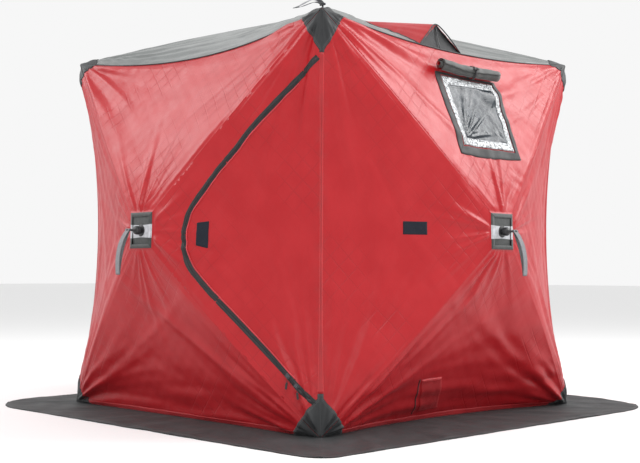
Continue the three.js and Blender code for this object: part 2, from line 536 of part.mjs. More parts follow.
function poleGeometry(f, a) {
  // built along +X from the clevis pin, then swung down to the corner
  const ca = Math.cos(a), sa = Math.sin(a);
  const reach = Math.hypot(HALF_SIDE, sa > 0 ? f.top : f.bottom) - POLE_SHORT - PIN_RADIUS;
  const drop = HUB_OUT + PIN_DEPTH + POLE_TIP_IN;
  const len = Math.hypot(reach, drop), tilt = Math.atan2(drop, reach);
  const alongX = (r, x0, x1, seg) => cylinder(r, x0, x1, seg).applyMatrix4(new THREE.Matrix4().makeRotationY(Math.PI / 2));
  const eye = box(-9, 30, -5, 5, -8, 8);
  let s = joinAll([eye, alongX(7.5, 28, 60, 8), alongX(POLE_R, 55, len - 30, 8), alongX(7.5, len - 42, len - 8, 8),
    new THREE.SphereGeometry(7.5, 8, 5).applyMatrix4(new THREE.Matrix4().makeTranslation(len - 8, 0, 0))]);
  s = s.subtract(toSolid(cylinder(PIN_R + 0.35, -12, 12, 8).applyMatrix4(new THREE.Matrix4().makeRotationX(Math.PI / 2))));
  const m = f.matrix.clone().setPosition(at(f, 0, 0, HUB_OUT))
    .multiply(spin(a)).multiply(new THREE.Matrix4().makeTranslation(PIN_RADIUS, 0, PIN_DEPTH)).multiply(new THREE.Matrix4().makeRotationY(tilt));
  return toGeometry(s).applyMatrix4(m);
}

function strapGeometry(f) {
  // webbing that bows outwards and hangs from the cross bar; (out, down) profile
  const dir = f.name === 'roof' ? -1 : -1;
  const line = f.name === 'roof'
    ? [[BAR_OUT, 5.5], [BAR_OUT + 9, 26], [BAR_OUT + 6, 62], [BAR_OUT - 14, 110], [BAR_OUT - 38, 160], [BAR_OUT - 52, 205]]
    : [[BAR_OUT, 5.5], [BAR_OUT + 16, 30], [BAR_OUT + 31, 66], [BAR_OUT + 43, 110], [BAR_OUT + 50, 155], [BAR_OUT + 53, 200]];
  const curve = new THREE.CatmullRomCurve3(line.map(([o, d]) => V(0, dir * d, o)), false, 'centripetal');
  const pts = curve.getSpacedPoints(14), outer = [], inner = [];
  pts.forEach((p, i) => {
    const tan = pts[Math.min(14, i + 1)].clone().sub(pts[Math.max(0, i - 1)]).normalize();
    const n = tan.clone().cross(V(1, 0, 0)).normalize();
    outer.push([p.clone().addScaledVector(n, STRAP_T / 2).add(V(-STRAP_W / 2, 0, 0)), p.clone().addScaledVector(n, STRAP_T / 2).add(V(STRAP_W / 2, 0, 0))]);
    inner.push([p.clone().addScaledVector(n, -STRAP_T / 2).add(V(-STRAP_W / 2, 0, 0)), p.clone().addScaledVector(n, -STRAP_T / 2).add(V(STRAP_W / 2, 0, 0))]);
  });
  const band = sheetFromGrid(outer, inner);
  const lug = side => {
    const ring = new THREE.Shape(); ring.absarc(0, 0, 7.6, 0, Math.PI * 2, false);
    const hole = new THREE.Path(); hole.absarc(0, 0, BAR_R + 0.5, 0, Math.PI * 2, true); ring.holes.push(hole);
    return new THREE.ExtrudeGeometry(ring, { depth: 6.3, bevelEnabled: false, curveSegments: 4 })
      .applyMatrix4(new THREE.Matrix4().makeRotationY(Math.PI / 2).setPosition(side > 0 ? 6.2 : -12.5, 0, BAR_OUT));
  };
  let s = toSolid(band);
  // room for the bar and the rod before the lugs are joined on
  s = s.subtract(toSolid(cylinder(BAR_R + 0.5, -30, 30, 16).applyMatrix4(new THREE.Matrix4().makeRotationY(Math.PI / 2).setPosition(0, 0, BAR_OUT))));
  s = s.subtract(toSolid(box(-6.2, 6.2, -8, 9, BAR_OUT - 30, BAR_OUT + 14)));
  s = s.add(toSolid(lug(1))).add(toSolid(lug(-1)));
  return toGeometry(s).applyMatrix4(f.matrix.clone().setPosition(at(f, 0, 0, HUB_OUT)));
}

for (const f of Object.values(FACES)) {
  addMesh(f.name + '_hub', hubGeometry(f), BLACK, 0.45);
  for (const [where, a] of Object.entries(poleAngles(f))) {
    // roof poles are named by the corner they run to
    const node = f.name === 'roof'
      ? 'roof_pole_' + { top_right: 'back_right', top_left: 'back_left', bottom_left: 'front_left', bottom_right: 'front_right' }[where]
      : f.name + '_pole_' + where;
    addMesh(node, poleGeometry(f, a), BLACK, 0.35);
  }
  addMesh(f.name + '_pull_strap', strapGeometry(f), 0x8d9094, 0.7);
}

// ---------------------------------------------------------------- roof vent hood
{
  const p = PANELS.roof_right;
  const on = (x, y, h) => { const [s, t] = solvePanel(p, q => [q.x - x, q.y - y]); return p.lift(s, t, h); };
  const base = 1.0;
  const corners = h => [on(852, -217, h), on(846, -65, h), on(852, 86, h), on(345, -62, h)];
  // outer shell: base corners, ridge line from the tail to the raised front
  const front = V(822, -65, 1856);
  const build = (o, lift, top) => {
    const [a, m, b, tail] = o;
    const r1 = top, r2 = tail.clone().lerp(top, 0.62).add(V(0, 0, lift));
    // wedge with a crowned ridge; faces: left, right, front, underside
    const pts = [a, b, tail, r1, r2, m];
    const tris = [[0, 3, 4], [0, 4, 2], [3, 1, 4], [4, 1, 2], [0, 5, 3], [5, 1, 3], [0, 2, 5], [5, 2, 1]];
    return closedFrom(pts, tris);
  };
  const outer = build(corners(base), 12, front);
  // the hollow under it is open towards the roof
  const centre = on(700, -65, base);
  const shrink = q => q.clone().sub(centre).multiplyScalar(0.93).add(centre);
  const [a, m, b, tail] = corners(base);
  const inner = build([a, m, b, tail].map(q => shrink(q).add(V(0, 0, -6))), 10, shrink(front).add(V(0, 0, -4)));
  addMesh('roof_vent_hood', toGeometry(largest(toSolid(outer).subtract(toSolid(inner)).subtract(clearOf(p, 0.6, -90)))), RED, 0.55);
}

// ---------------------------------------------------------------- zipper slider
{
  // lies on the door line near its lower end; body, then a pull tab
  const s0 = 0.922, t0 = 0.155, s1 = 0.9, t1 = 0.36;
  const p = doorPanel.lift(s0, t0, 2.2), n = doorPanel.normal(s0, t0);
  const x = doorPanel.at(s1, t1).sub(doorPanel.at(s0, t0)).normalize(), y = n.clone().cross(x).normalize(), xx = y.clone().cross(n);
  const m = new THREE.Matrix4().makeBasis(xx, y, n).setPosition(p);
  const body = joinAll([box(-9, 9, -6, 6, 0, 3), box(-5, 5, -2, 2, 2.5, 7), box(-42, -3, -3, 3, 5, 6.6)]);
  addMesh('door_zipper_slider', toGeometry(body).applyMatrix4(m), BLACK, 0.4, 0.3);
}

export default group;
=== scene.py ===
import bpy, bmesh, math
import numpy as np
from mathutils import Vector, Matrix, geometry


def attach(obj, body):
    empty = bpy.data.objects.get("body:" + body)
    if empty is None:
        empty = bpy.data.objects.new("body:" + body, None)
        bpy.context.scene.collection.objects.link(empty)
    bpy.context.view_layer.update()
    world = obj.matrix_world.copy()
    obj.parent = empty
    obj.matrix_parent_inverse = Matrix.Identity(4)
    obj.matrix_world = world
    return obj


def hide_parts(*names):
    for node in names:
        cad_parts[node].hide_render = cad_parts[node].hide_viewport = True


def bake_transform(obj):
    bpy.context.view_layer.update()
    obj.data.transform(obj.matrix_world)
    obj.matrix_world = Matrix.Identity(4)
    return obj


# Pop-up ice fishing shelter: four hub walls, a hub roof, a skirt on the ground.
# Metres, +Z up, the door wall faces -Y and the window wall faces +X.
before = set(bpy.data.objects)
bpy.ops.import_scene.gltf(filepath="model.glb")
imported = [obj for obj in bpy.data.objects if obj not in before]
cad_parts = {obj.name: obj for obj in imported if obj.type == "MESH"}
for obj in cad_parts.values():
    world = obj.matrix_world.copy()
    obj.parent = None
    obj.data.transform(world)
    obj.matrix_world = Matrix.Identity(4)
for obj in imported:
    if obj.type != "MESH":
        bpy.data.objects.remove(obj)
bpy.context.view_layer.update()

# ------------------------------------------------------------ driving sizes
HALF, EAVE, BASE, HUBZ, OUT, INN = .9, 1.775, .008, .87, .25, .062
PATCH = .0825
POW, BOWC = 2.2, .074
BOW_EAVE = dict(front=.075, right=.048, back=.060, left=.050)
BOW_BASE = dict(front=0., right=.105, back=.050, left=.050)
ZONE = dict(front=(.10, .13), right=(.132, .30), back=(.10, .25), left=(.10, .25), roof=(.10, .25))
ROUND_NEAR, ROUND_FAR, SKIRT = .110, .360, 1.270
QUILT = .062


def V(*a):
    return np.array(a, float)


WALLS = dict(front=(V(1, 0, 0), V(0, 0, 1), V(0, -1, 0), V(0, -HALF, HUBZ)),
             right=(V(0, 1, 0), V(0, 0, 1), V(1, 0, 0), V(HALF, 0, HUBZ)),
             back=(V(-1, 0, 0), V(0, 0, 1), V(0, 1, 0), V(0, HALF, HUBZ)),
             left=(V(0, -1, 0), V(0, 0, 1), V(-1, 0, 0), V(-HALF, 0, HUBZ)),
             roof=(V(1, 0, 0), V(0, 1, 0), V(0, 0, 1), V(0, 0, EAVE)))
OWN = dict(front=V(0, 1, 0), right=V(-1, 0, 0), back=V(0, -1, 0), left=V(1, 0, 0))
NEXT = dict(front='right', right='back', back='left', left='front')
PREV = {b: a for a, b in NEXT.items()}
ROOF_SIDE = dict(top='back', bottom='front', left='left', right='right')


def smooth(x):
    x = np.clip(x, 0, 1)
    return x * x * (3 - 2 * x)


def vnoise(x, y, seed):
    T = np.random.default_rng(seed).uniform(-1, 1, (64, 64))
    xi, yi = np.floor(x).astype(int), np.floor(y).astype(int)
    fx, fy = x - xi, y - yi
    fx, fy = fx * fx * (3 - 2 * fx), fy * fy * (3 - 2 * fy)
    g = lambda i, j: T[(xi + i) % 64, (yi + j) % 64]
    return (g(0, 0) * (1 - fx) + g(1, 0) * fx) * (1 - fy) + (g(0, 1) * (1 - fx) + g(1, 1) * fx) * fy


def fan(px, py, seed, n, lo, hi, reach, amp, wide):
    """Tension folds that leave a point in straight lines and fade out."""
    rng = np.random.default_rng(seed)
    rho, phi = np.hypot(px, py), np.arctan2(py, px)
    h = np.zeros_like(rho)
    for _ in range(n):
        c = rng.uniform(lo, hi)
        a = amp * rng.uniform(.35, 1) * (1 if rng.random() < .72 else -.7)
        w = wide * rng.uniform(.6, 1.35)
        r = reach * rng.uniform(.5, 1.4)
        bend = rng.uniform(-.25, .25)
        d = rho * np.sin(phi - c - bend * rho) / (w * (.55 + 1.1 * rho / reach))
        env = np.power(rho / r, .7) * np.exp(-np.power(rho / r, 1.8)) * 1.9
        h += a * np.exp(-d * d) * env * (np.cos(phi - c) > 0)
    return h


class Facet:
    """One triangular fabric panel. x runs along the outer edge from its middle, y from the edge to the hub."""

    def __init__(self, wall, side):
        self.wall, self.side = wall, side
        t, u, n, o = WALLS[wall]
        self.t3, self.u3, self.n3, self.o3 = t, u, n, o
        top = HALF if wall == 'roof' else EAVE - HUBZ
        bot = -HALF if wall == 'roof' else BASE - HUBZ
        c = lambda a, b, d=0.: o + t * a + u * b + n * d
        q = dict(top=((-HALF, top), (HALF, top)), bottom=((HALF, bot), (-HALF, bot)),
                 left=((-HALF, bot), (-HALF, top)), right=((HALF, top), (HALF, bot)))[side]
        k = INN
        i = dict(top=((-k, k), (k, k)), bottom=((k, -k), (-k, -k)),
                 left=((-k, -k), (-k, k)), right=((k, k), (k, -k)))[side]
        self.A, self.B, self.Ai, self.Bi = c(*q[0]), c(*q[1]), c(*i[0], OUT), c(*i[1], OUT)
        if wall == 'roof':
            w = ROOF_SIDE[side]
            self.bow = OWN[w] * BOW_EAVE[w] + V(0, 0, -BOW_EAVE[w])
        elif side == 'top':
            self.bow = OWN[wall] * BOW_EAVE[wall] + V(0, 0, -BOW_EAVE[wall])
        elif side == 'bottom':
            self.bow = OWN[wall] * BOW_BASE[wall]
        elif side == 'right':
            self.bow = (OWN[wall] + OWN[NEXT[wall]]) * BOWC
        else:
            self.bow = (OWN[wall] + OWN[PREV[wall]]) * BOWC
        self.L = float(np.linalg.norm(self.B - self.A))
        mid = (self.A + self.B) / 2
        midi = (self.Ai + self.Bi) / 2
        self.D = float(np.linalg.norm(midi - mid))
        r = midi - mid
        r = r - n * (r @ n)
        self.reach = float(np.linalg.norm(r))
        self.r3 = r / self.reach                       # in the wall's plane, edge to hub
        self.name = f"roof_{ROOF_SIDE[side]}" if wall == 'roof' else f"{wall}_{side}"
        self.body = f"roof_panel_{ROOF_SIDE[side]}" if wall == 'roof' else f"{wall}_panel_{side}"
        self.seed = abs(sum(ord(ch) * (i + 3) for i, ch in enumerate(self.name))) % 9973
        self.extra = []                                # more folds, added by the features
        self.top_b, self.bot_b = top, bot

    def width(self, y):
        return self.L + (2 * INN - self.L) * (y / self.D)

    def st(self, x, y):
        return .5 + x / self.width(y), y / self.D

    def P(self, s, t):
        s, t = np.asarray(s, float)[..., None], np.asarray(t, float)[..., None]
        e = (self.A * (1 - s) + self.B * s) * (1 - t) + (self.Ai * (1 - s) + self.Bi * s) * t
        return e + self.bow * 4 * s * (1 - s) * np.power(np.clip(1 - t, 0, None), POW)

    def N(self, s, t):
        h = 1e-3
        n = np.cross(self.P(s + h, t) - self.P(s - h, t), self.P(s, t + h) - self.P(s, t - h))
        n /= np.maximum(np.linalg.norm(n, axis=-1, keepdims=True), 1e-12)
        return n * np.sign((n @ self.n3))[..., None]

    def ridge_bow(self, p):
        """The sprung poles push the cloth outwards between hub and corner."""
        q = p - self.o3
        a, b = q @ self.t3, q @ self.u3
        out = np.zeros(len(a))
        for sa in (-1, 1):
            for tb, amount in ((self.top_b, .014), (self.bot_b, .026)):
                if self.wall == 'roof':
                    amount = .014
                ca, cb = sa * HALF, tb
                ln = math.hypot(ca, cb)
                ux, uy = ca / ln, cb / ln
                along = np.clip((a * ux + b * uy) / ln, 0, 1)
                off = -a * uy + b * ux
                side = np.where(a * ux + b * uy > 0, 1., 0.)
                out += amount * 4 * along * (1 - along) * np.exp(-(off / .17) ** 2) * side
        return out

    def H(self, x, y):
        L0, D, w, sd = self.L / 2, self.D, self.width(y), self.seed
        slope = math.atan2(L0 - INN, D)
        rd = (w / 2 - np.abs(x)) * math.cos(slope)      # distance to the nearer ridge
        hd = D - y
        roof = self.wall == 'roof'
        h = .0042 * vnoise(x / .42 + 9.3, y / .30 + 3.1, sd + 1)
        h += .0016 * vnoise(x / .14 + 9.3, y / .11 + 3.1, sd + 2)
        if not roof:                                    # soft pillows between the quilting rows
            a, b = (x + y) / math.sqrt(2), (x - y) / math.sqrt(2)
            h += .0011 * (np.abs(np.sin(math.pi * a / QUILT)) * np.abs(np.sin(math.pi * b / QUILT)) - .4)
        phim = math.atan2(D, L0 - INN)
        low = self.side == 'bottom'
        for k, (sx, cx) in enumerate(((1, -L0), (-1, L0))):
            px = (x - cx) * sx
            h += fan(px, y, sd + 11 + k, 9 if roof else 17, .03, phim - .03, .34, .0055 if roof else .0095, .0105)
            h += fan(px, y, sd + 31 + k, 7, .05, phim - .05, .85, .0070, .020)
        half = math.atan2(L0, D)
        h += fan(D - y + .02, x, sd + 51, 13, -half, half, .26, .0080, .011)
        # short slanting gathers that leave the ridges
        for sg in (-1, 1):
            rr = (w / 2 - sg * x) * math.cos(slope)
            al = y / math.cos(slope)
            msk = smooth(vnoise(al / .16 + 3, np.zeros_like(al) + sg * 2.5, sd + 61) * 1.4)
            h += .0024 * msk * vnoise((al + rr * .9) / .028, rr / .35, sd + 63 + sg) * np.exp(-rr / .085)
        # puckers along the sewn outer edge
        g = .0030 if low else .0018
        h += g * vnoise(x / .032, y / .22, sd + 71) * np.exp(-y / .055)
        if low:                                         # folds where the lower edge is pulled in
            k = BOW_BASE.get(self.wall, 0.) / .105
            h += (.0035 + .004 * k) * vnoise(x / .30 + y * 1.5, y / .040, sd + 73) * np.exp(-((y - .05) / .16) ** 2)
            for sx, cx in ((1, -L0), (-1, L0)):
                px = (x - cx) * sx
                rho = np.hypot(px, y)
                h += .0048 * np.sin(rho / .0125 * (1 + .1 * vnoise(px / .2, y / .2, sd + 74))) * np.exp(-((rho - .20) / .10) ** 2) * smooth(vnoise(np.arctan2(y, px) * 3.2, rho / .3, sd + 75) * 1.5)
        for f in self.extra:
            h += f(x, y)
        edge = smooth(y / .030) * smooth(rd / .026) * smooth((hd - .020) / .03)
        return h * edge

    def at(self, x, y, lift=0.):
        x, y = np.asarray(x, float), np.asarray(y, float)
        sh = x.shape
        x, y = x.ravel(), y.ravel()
        s, t = self.st(x, y)
        p, n = self.P(s, t), self.N(s, t)
        lift = np.broadcast_to(np.asarray(lift, float), sh).ravel()
        p = p + n * (self.H(x, y) + lift)[:, None] + self.n3 * self.ridge_bow(p)[:, None]
        return p.reshape(sh + (3,))

    def find(self, fn, guess=(.5, .5)):
        """(x, y) where fn(point) is zero, by Newton's method on the plain panel."""
        s, t = guess
        for _ in range(25):
            f0 = np.array(fn(self.P(s, t)))
            h = 1e-4
            J = np.stack([(np.array(fn(self.P(s + h, t))) - f0) / h, (np.array(fn(self.P(s, t + h))) - f0) / h], axis=1)
            d = np.linalg.solve(J, -f0)
            s, t = s + float(np.clip(d[0], -.3, .3)), t + float(np.clip(d[1], -.3, .3))
        y = t * self.D
        return (s - .5) * self.width(y), y

    def zone(self):
        a, b = ZONE[self.wall]
        m = (self.A + self.B) / 2
        return m + self.r3 * a * self.reach, m + self.r3 * b * self.reach


F = {}
for w_ in WALLS:
    for s_ in ('top', 'bottom', 'left', 'right'):
        f_ = Facet(w_, s_)
        F[f_.name] = f_

# ------------------------------------------------------------ materials
MATS = {}


class Nodes:
    def __init__(self, name):
        self.m = bpy.data.materials.new(name)
        self.m.use_nodes = True
        self.t = self.m.node_tree
        self.b = self.t.nodes["Principled BSDF"]

    def n(self, kind, **kw):
        x = self.t.nodes.new(kind)
        for k, v in kw.items():
            setattr(x, k, v)
        return x

    def link(self, a, b):
        self.t.links.new(a, b)

    def math(self, op, a, b=None, clamp=False):
        x = self.n("ShaderNodeMath", operation=op, use_clamp=clamp)
        for i, v in enumerate((a, b)):
            if v is None:
                continue
            if isinstance(v, (int, float)):
                x.inputs[i].default_value = v
            else:
                self.link(v, x.inputs[i])
        return x.outputs[0]

    def uv(self):
        u = self.n("ShaderNodeUVMap", uv_map="cloth")
        s = self.n("ShaderNodeSeparateXYZ")
        self.link(u.outputs[0], s.inputs[0])
        return u.outputs[0], s.outputs[0], s.outputs[1]

    def noise(self, vec, scale, detail=2., rough=.5):
        x = self.n("ShaderNodeTexNoise")
        x.inputs["Scale"].default_value = scale
        x.inputs["Detail"].default_value = detail
        x.inputs["Roughness"].default_value = rough
        if vec is not None:
            self.link(vec, x.inputs["Vector"])
        return x.outputs["Fac"]

    def ramp(self, fac, a, b, lo=0., hi=1., kind="SMOOTHSTEP"):
        x = self.n("ShaderNodeMapRange", interpolation_type=kind)
        x.inputs["From Min"].default_value, x.inputs["From Max"].default_value = a, b
        x.inputs["To Min"].default_value, x.inputs["To Max"].default_value = lo, hi
        self.link(fac, x.inputs["Value"])
        return x.outputs["Result"]

    def mix(self, fac, a, b, blend="MIX"):
        x = self.n("ShaderNodeMix", data_type="RGBA", blend_type=blend)
        for i, v in ((0, fac), (6, a), (7, b)):
            if isinstance(v, (int, float)):
                x.inputs[i].default_value = v
            elif isinstance(v, (tuple, list)):
                x.inputs[i].default_value = (*v, 1)
            else:
                self.link(v, x.inputs[i])
        return x.outputs[2]

    def bump(self, height, dist, strength=1., normal=None):
        x = self.n("ShaderNodeBump")
        x.inputs["Strength"].default_value = strength
        x.inputs["Distance"].default_value = dist
        self.link(height, x.inputs["Height"])
        if normal is not None:
            self.link(normal, x.inputs["Normal"])
        return x.outputs["Normal"]


def cloth_mat(name, col, rough=(.42, .56), sheen=.3, tint=(1, .8, .8), weave=.0022, quilt=False, dirt=.35, stitch=None, spec=.5, vary=.07, coat=0.):
    """Woven cloth: yarns over and under, soft tone changes, quilting rows, dust at the hem and rows of stitches."""
    N = Nodes(name)
    vec, u, v = N.uv()
    wob = N.noise(vec, 5.5, 3.)
    fine = N.noise(vec, 420., 2.)
    lo = tuple(c * (1 - vary * 2) for c in col)
    hi = tuple(min(1, c * (1 + vary * 1.6) + .004) for c in col)
    c = N.mix(N.ramp(wob, .35, .68), lo, hi)
    c = N.mix(N.ramp(fine, .3, .7, 0, .16), c, tuple(x * .55 for x in col))
    # plain weave: one yarn over, one under
    k = math.pi / weave
    wu, wv = N.math('SINE', N.math('MULTIPLY', u, k)), N.math('SINE', N.math('MULTIPLY', v, k))
    yarn = N.math('ADD', N.math('MULTIPLY', N.math('MULTIPLY', wu, wv), .5), .5)
    normal = None
    if quilt:
        r2 = 1 / math.sqrt(2)
        a = N.math('MULTIPLY', N.math('ADD', u, v), r2)
        b = N.math('MULTIPLY', N.math('SUBTRACT', u, v), r2)
        da, db = N.math('PINGPONG', a, QUILT / 2), N.math('PINGPONG', b, QUILT / 2)
        ga, gb = N.ramp(da, .0, .0042), N.ramp(db, .0, .0042)
        g = N.math('MULTIPLY', ga, gb)
        gone = N.ramp(N.noise(vec, 2.3, 1.), .42, .62, .10, 1.)   # the rows fade where the cloth is pulled tight
        depth = N.math('SUBTRACT', 1., N.math('MULTIPLY', N.math('SUBTRACT', 1., g), gone))
        # the sunk quilting rows are darkened in the base colour: painted shade in the rows
        c = N.mix(N.math('MULTIPLY', N.math('SUBTRACT', 1., depth), .24), c, tuple(x * .55 for x in col))
        normal = N.bump(depth, .0016, .50)
    crease = N.noise(vec, 14., 5., .62)
    normal = N.bump(crease, .0050, .20, normal)
    normal = N.bump(yarn, .00030, .55, normal)
    if stitch:
        for off in stitch:                               # lockstitch: 3 mm dashes in a sunk line
            d = N.math('ABSOLUTE', N.math('SUBTRACT', v, off))
            line = N.ramp(d, .0022, .0006)
            dash = N.ramp(N.math('PINGPONG', u, .0026), .0004, .0010)
            c = N.mix(N.math('MULTIPLY', N.math('MULTIPLY', line, dash), .55), c, tuple(min(1, x * 1.9 + .05) for x in col))
            normal = N.bump(N.math('SUBTRACT', N.math('MULTIPLY', N.math('MULTIPLY', line, dash), .8), line), .0010, .6, normal)
    if dirt:
        hem = N.math('MULTIPLY', N.ramp(v, .045, .0), N.ramp(N.noise(vec, 23., 4.), .35, .75))
        c = N.mix(N.math('MULTIPLY', hem, dirt), c, tuple(.6 * x + .03 for x in col))
    N.link(c, N.b.inputs["Base Color"])
    N.link(N.ramp(N.noise(vec, 9., 3.), .3, .7, rough[0], rough[1]), N.b.inputs["Roughness"])
    N.link(normal, N.b.inputs["Normal"])
    N.b.inputs["Sheen Weight"].default_value = sheen
    N.b.inputs["Sheen Roughness"].default_value = .35
    N.b.inputs["Sheen Tint"].default_value = (*tint, 1)
    N.b.inputs["Specular IOR Level"].default_value = spec
    if coat:
        N.b.inputs["Coat Weight"].default_value = coat
        N.b.inputs["Coat Roughness"].default_value = .32
    MATS[name] = N.m
    return N.m


RED = (.43, .006, .011)
GREY = (.135, .145, .142)
CHAR = (.026, .028, .030)
cloth_mat("red_oxford", RED, (.37, .43), .10, (1, .45, .50), quilt=True, spec=.36, coat=.0, vary=.02)
cloth_mat("red_tape", tuple(x * .92 for x in RED), (.40, .52), .12, (1, .62, .66), weave=.0016, stitch=(.0035, .0105), dirt=.2)
cloth_mat("grey_oxford", GREY, (.42, .56), .25, (1, 1, 1), quilt=False)
cloth_mat("charcoal_oxford", CHAR, (.58, .72), .08, (1, 1, 1), weave=.0030, stitch=(.0045, .0095), dirt=.5)
cloth_mat("charcoal_skirt", (.014, .0155, .017), (.62, .78), .06, (1, 1, 1), weave=.0034, stitch=(.012, .017), dirt=.7, vary=.12)
cloth_mat("lining_black", (.018, .018, .020), (.6, .75), .15, (1, 1, 1), quilt=True)
cloth_mat("black_tape", (.012, .012, .013), (.55, .7), .15, (1, 1, 1), weave=.0016, stitch=(.003,), dirt=.0)
cloth_mat("piping_dark", (.020, .021, .023), (.5, .65), .2, (1, 1, 1), weave=.0014, dirt=0)
cloth_mat("piping_red", (.60, .045, .060), (.38, .5), .3, (1, .75, .75), weave=.0014, dirt=0)


def webbing_mat(name, col):
    """Flat webbing: a herringbone of thick yarns, darker selvedges, fuzz."""
    N = Nodes(name)
    vec, u, v = N.uv()
    z = N.math('PINGPONG', u, .0032)
    rib = N.math('SINE', N.math('MULTIPLY', N.math('ADD', v, N.math('MULTIPLY', z, 1.)), math.pi / .0011))
    rib = N.math('ADD', N.math('MULTIPLY', rib, .5), .5)
    c = N.mix(N.ramp(rib, .1, .9), tuple(x * .62 for x in col), col)
    c = N.mix(N.ramp(N.noise(vec, 60., 3.), .4, .75, 0, .3), c, tuple(x * .5 for x in col))
    sel = N.math('PINGPONG', u, .0125)
    c = N.mix(N.ramp(sel, .0022, .0006, 0, .6), c, tuple(x * .45 for x in col))
    N.link(c, N.b.inputs["Base Color"])
    N.link(N.ramp(N.noise(vec, 90., 2.), .3, .7, .5, .7), N.b.inputs["Roughness"])
    N.link(N.bump(rib, .0005, .8), N.b.inputs["Normal"])
    N.b.inputs["Sheen Weight"].default_value = .35
    MATS[name] = N.m


webbing_mat("webbing_grey", (.105, .110, .122))
webbing_mat("webbing_silver", (.21, .215, .235))


def patch_mat():
    """Hub patch: charcoal cloth with a bright band across it whose borders are shallow Vs."""
    N = Nodes("hub_patch")
    vec, u, v = N.uv()
    au = N.math('ABSOLUTE', u)
    vee = N.math('MULTIPLY', au, .05)
    d = N.math('ABSOLUTE', N.math('ADD', v, .004))
    edge = N.math('SUBTRACT', N.math('ADD', .0270, vee), d)
    band = N.ramp(edge, -.0008, .0008)
    k = math.pi / .0030
    yarn = N.math('MULTIPLY', N.math('SINE', N.math('MULTIPLY', u, k)), N.math('SINE', N.math('MULTIPLY', v, k)))
    yarn = N.math('ADD', N.math('MULTIPLY', yarn, .5), .5)
    dark = N.mix(N.ramp(N.noise(vec, 60., 3.), .3, .7), (.024, .028, .027), (.042, .047, .045))
    bright = N.mix(N.ramp(N.noise(vec, 40., 3.), .3, .7), (.40, .41, .43), (.60, .61, .64))
    c = N.mix(band, dark, bright)
    # sewn round the rim
    rim = N.math('SUBTRACT', .0765, N.math('MAXIMUM', au, N.math('ABSOLUTE', v)))
    st = N.math('MULTIPLY', N.ramp(N.math('ABSOLUTE', rim), .0018, .0006), N.ramp(N.math('PINGPONG', N.math('ADD', u, v), .0026), .0004, .0010))
    c = N.mix(N.math('MULTIPLY', st, .7), c, (.02, .02, .022))
    N.link(c, N.b.inputs["Base Color"])
    nrm = N.bump(yarn, .0004, .6)
    nrm = N.bump(N.noise(vec, 35., 4.), .004, .25, nrm)
    nrm = N.bump(band, .0008, .5, nrm)
    N.link(nrm, N.b.inputs["Normal"])
    N.link(N.ramp(band, 0, 1, .62, .34), N.b.inputs["Roughness"])
    N.b.inputs["Sheen Weight"].default_value = .2
    MATS["hub_patch"] = N.m


patch_mat()


def plain_mat(name, col, rough=(.35, .5), metal=0., bump=.0004, scale=220., spec=.5, wear=None):
    """Moulded or cast surface: fine grain, tone changes and scuffs."""
    N = Nodes(name)
    tc = N.n("ShaderNodeTexCoord")
    o = tc.outputs["Object"]
    grain = N.noise(o, scale, 3.)
    c = N.mix(N.ramp(N.noise(o, 18., 3.), .3, .7), tuple(x * .8 for x in col), tuple(min(1, x * 1.2) for x in col))
    scuff = N.ramp(N.noise(o, 70., 6., .7), .60, .74)
    c = N.mix(N.math('MULTIPLY', scuff, .35), c, wear or tuple(min(1, x * 2.2 + .03) for x in col))
    N.link(c, N.b.inputs["Base Color"])
    N.link(N.math('ADD', N.ramp(grain, .3, .7, rough[0], rough[1]), N.math('MULTIPLY', scuff, .12)), N.b.inputs["Roughness"])
    N.link(N.bump(grain, bump, .5), N.b.inputs["Normal"])
    N.b.inputs["Metallic"].default_value = metal
    N.b.inputs["Specular IOR Level"].default_value = spec
    MATS[name] = N.m


plain_mat("moulded_black", (.022, .022, .024), (.38, .52))
plain_mat("fibreglass_rod", (.030, .031, .034), (.28, .40), scale=600.)
plain_mat("dark_metal", (.10, .10, .11), (.25, .40), metal=.9)
_f = Nodes("white_floor")
_f.b.inputs["Base Color"].default_value = (.84, .84, .84, 1)
_f.b.inputs["Roughness"].default_value = .9
_f.b.inputs["Specular IOR Level"].default_value = .1
MATS["white_floor"] = _f.m


def silver_mat():
    """Crinkled foil tape round the window."""
    N = Nodes("silver_band")
    vec, u, v = N.uv()
    w = N.noise(vec, 75., 5., .7)
    n2 = N.n("ShaderNodeTexVoronoi", feature='DISTANCE_TO_EDGE')
    n2.inputs["Scale"].default_value = 62.
    N.link(vec, n2.inputs["Vector"])
    cr = N.ramp(n2.outputs["Distance"], 0, .35)
    # the foil's base colour runs from dark to bright with the crinkle noise that also drives the bump: painted
    # highlights and shade of the crinkles
    c = N.mix(N.ramp(w, .34, .62), (.10, .11, .12), (.62, .63, .64))
    N.link(c, N.b.inputs["Base Color"])
    N.b.inputs["Metallic"].default_value = .55
    N.link(N.ramp(w, .3, .7, .20, .42), N.b.inputs["Roughness"])
    N.link(N.bump(w, .006, .8, N.bump(cr, .003, .7)), N.b.inputs["Normal"])
    MATS["silver_band"] = N.m


silver_mat()


def vinyl_mat():
    """Clear vinyl, coloured near black as painted shade of the dark inside behind it, with haze and drawn-out creases.
    """
    N = Nodes("clear_vinyl")
    vec, u, v = N.uv()
    haze = N.noise(vec, 11., 4.)
    # near-black base colour: painted shade of the tent's inside seen through the vinyl; the haze is the vinyl's own
    c = N.mix(N.ramp(haze, .3, .75), (.020, .026, .034), (.040, .050, .062))
    N.link(c, N.b.inputs["Base Color"])
    N.b.inputs["Alpha"].default_value = .82
    N.link(N.ramp(haze, .3, .7, .16, .28), N.b.inputs["Roughness"])
    N.link(N.bump(N.noise(vec, 26., 3.), .004, .25), N.b.inputs["Normal"])
    N.b.inputs["Specular IOR Level"].default_value = .22
    MATS["clear_vinyl"] = N.m


vinyl_mat()


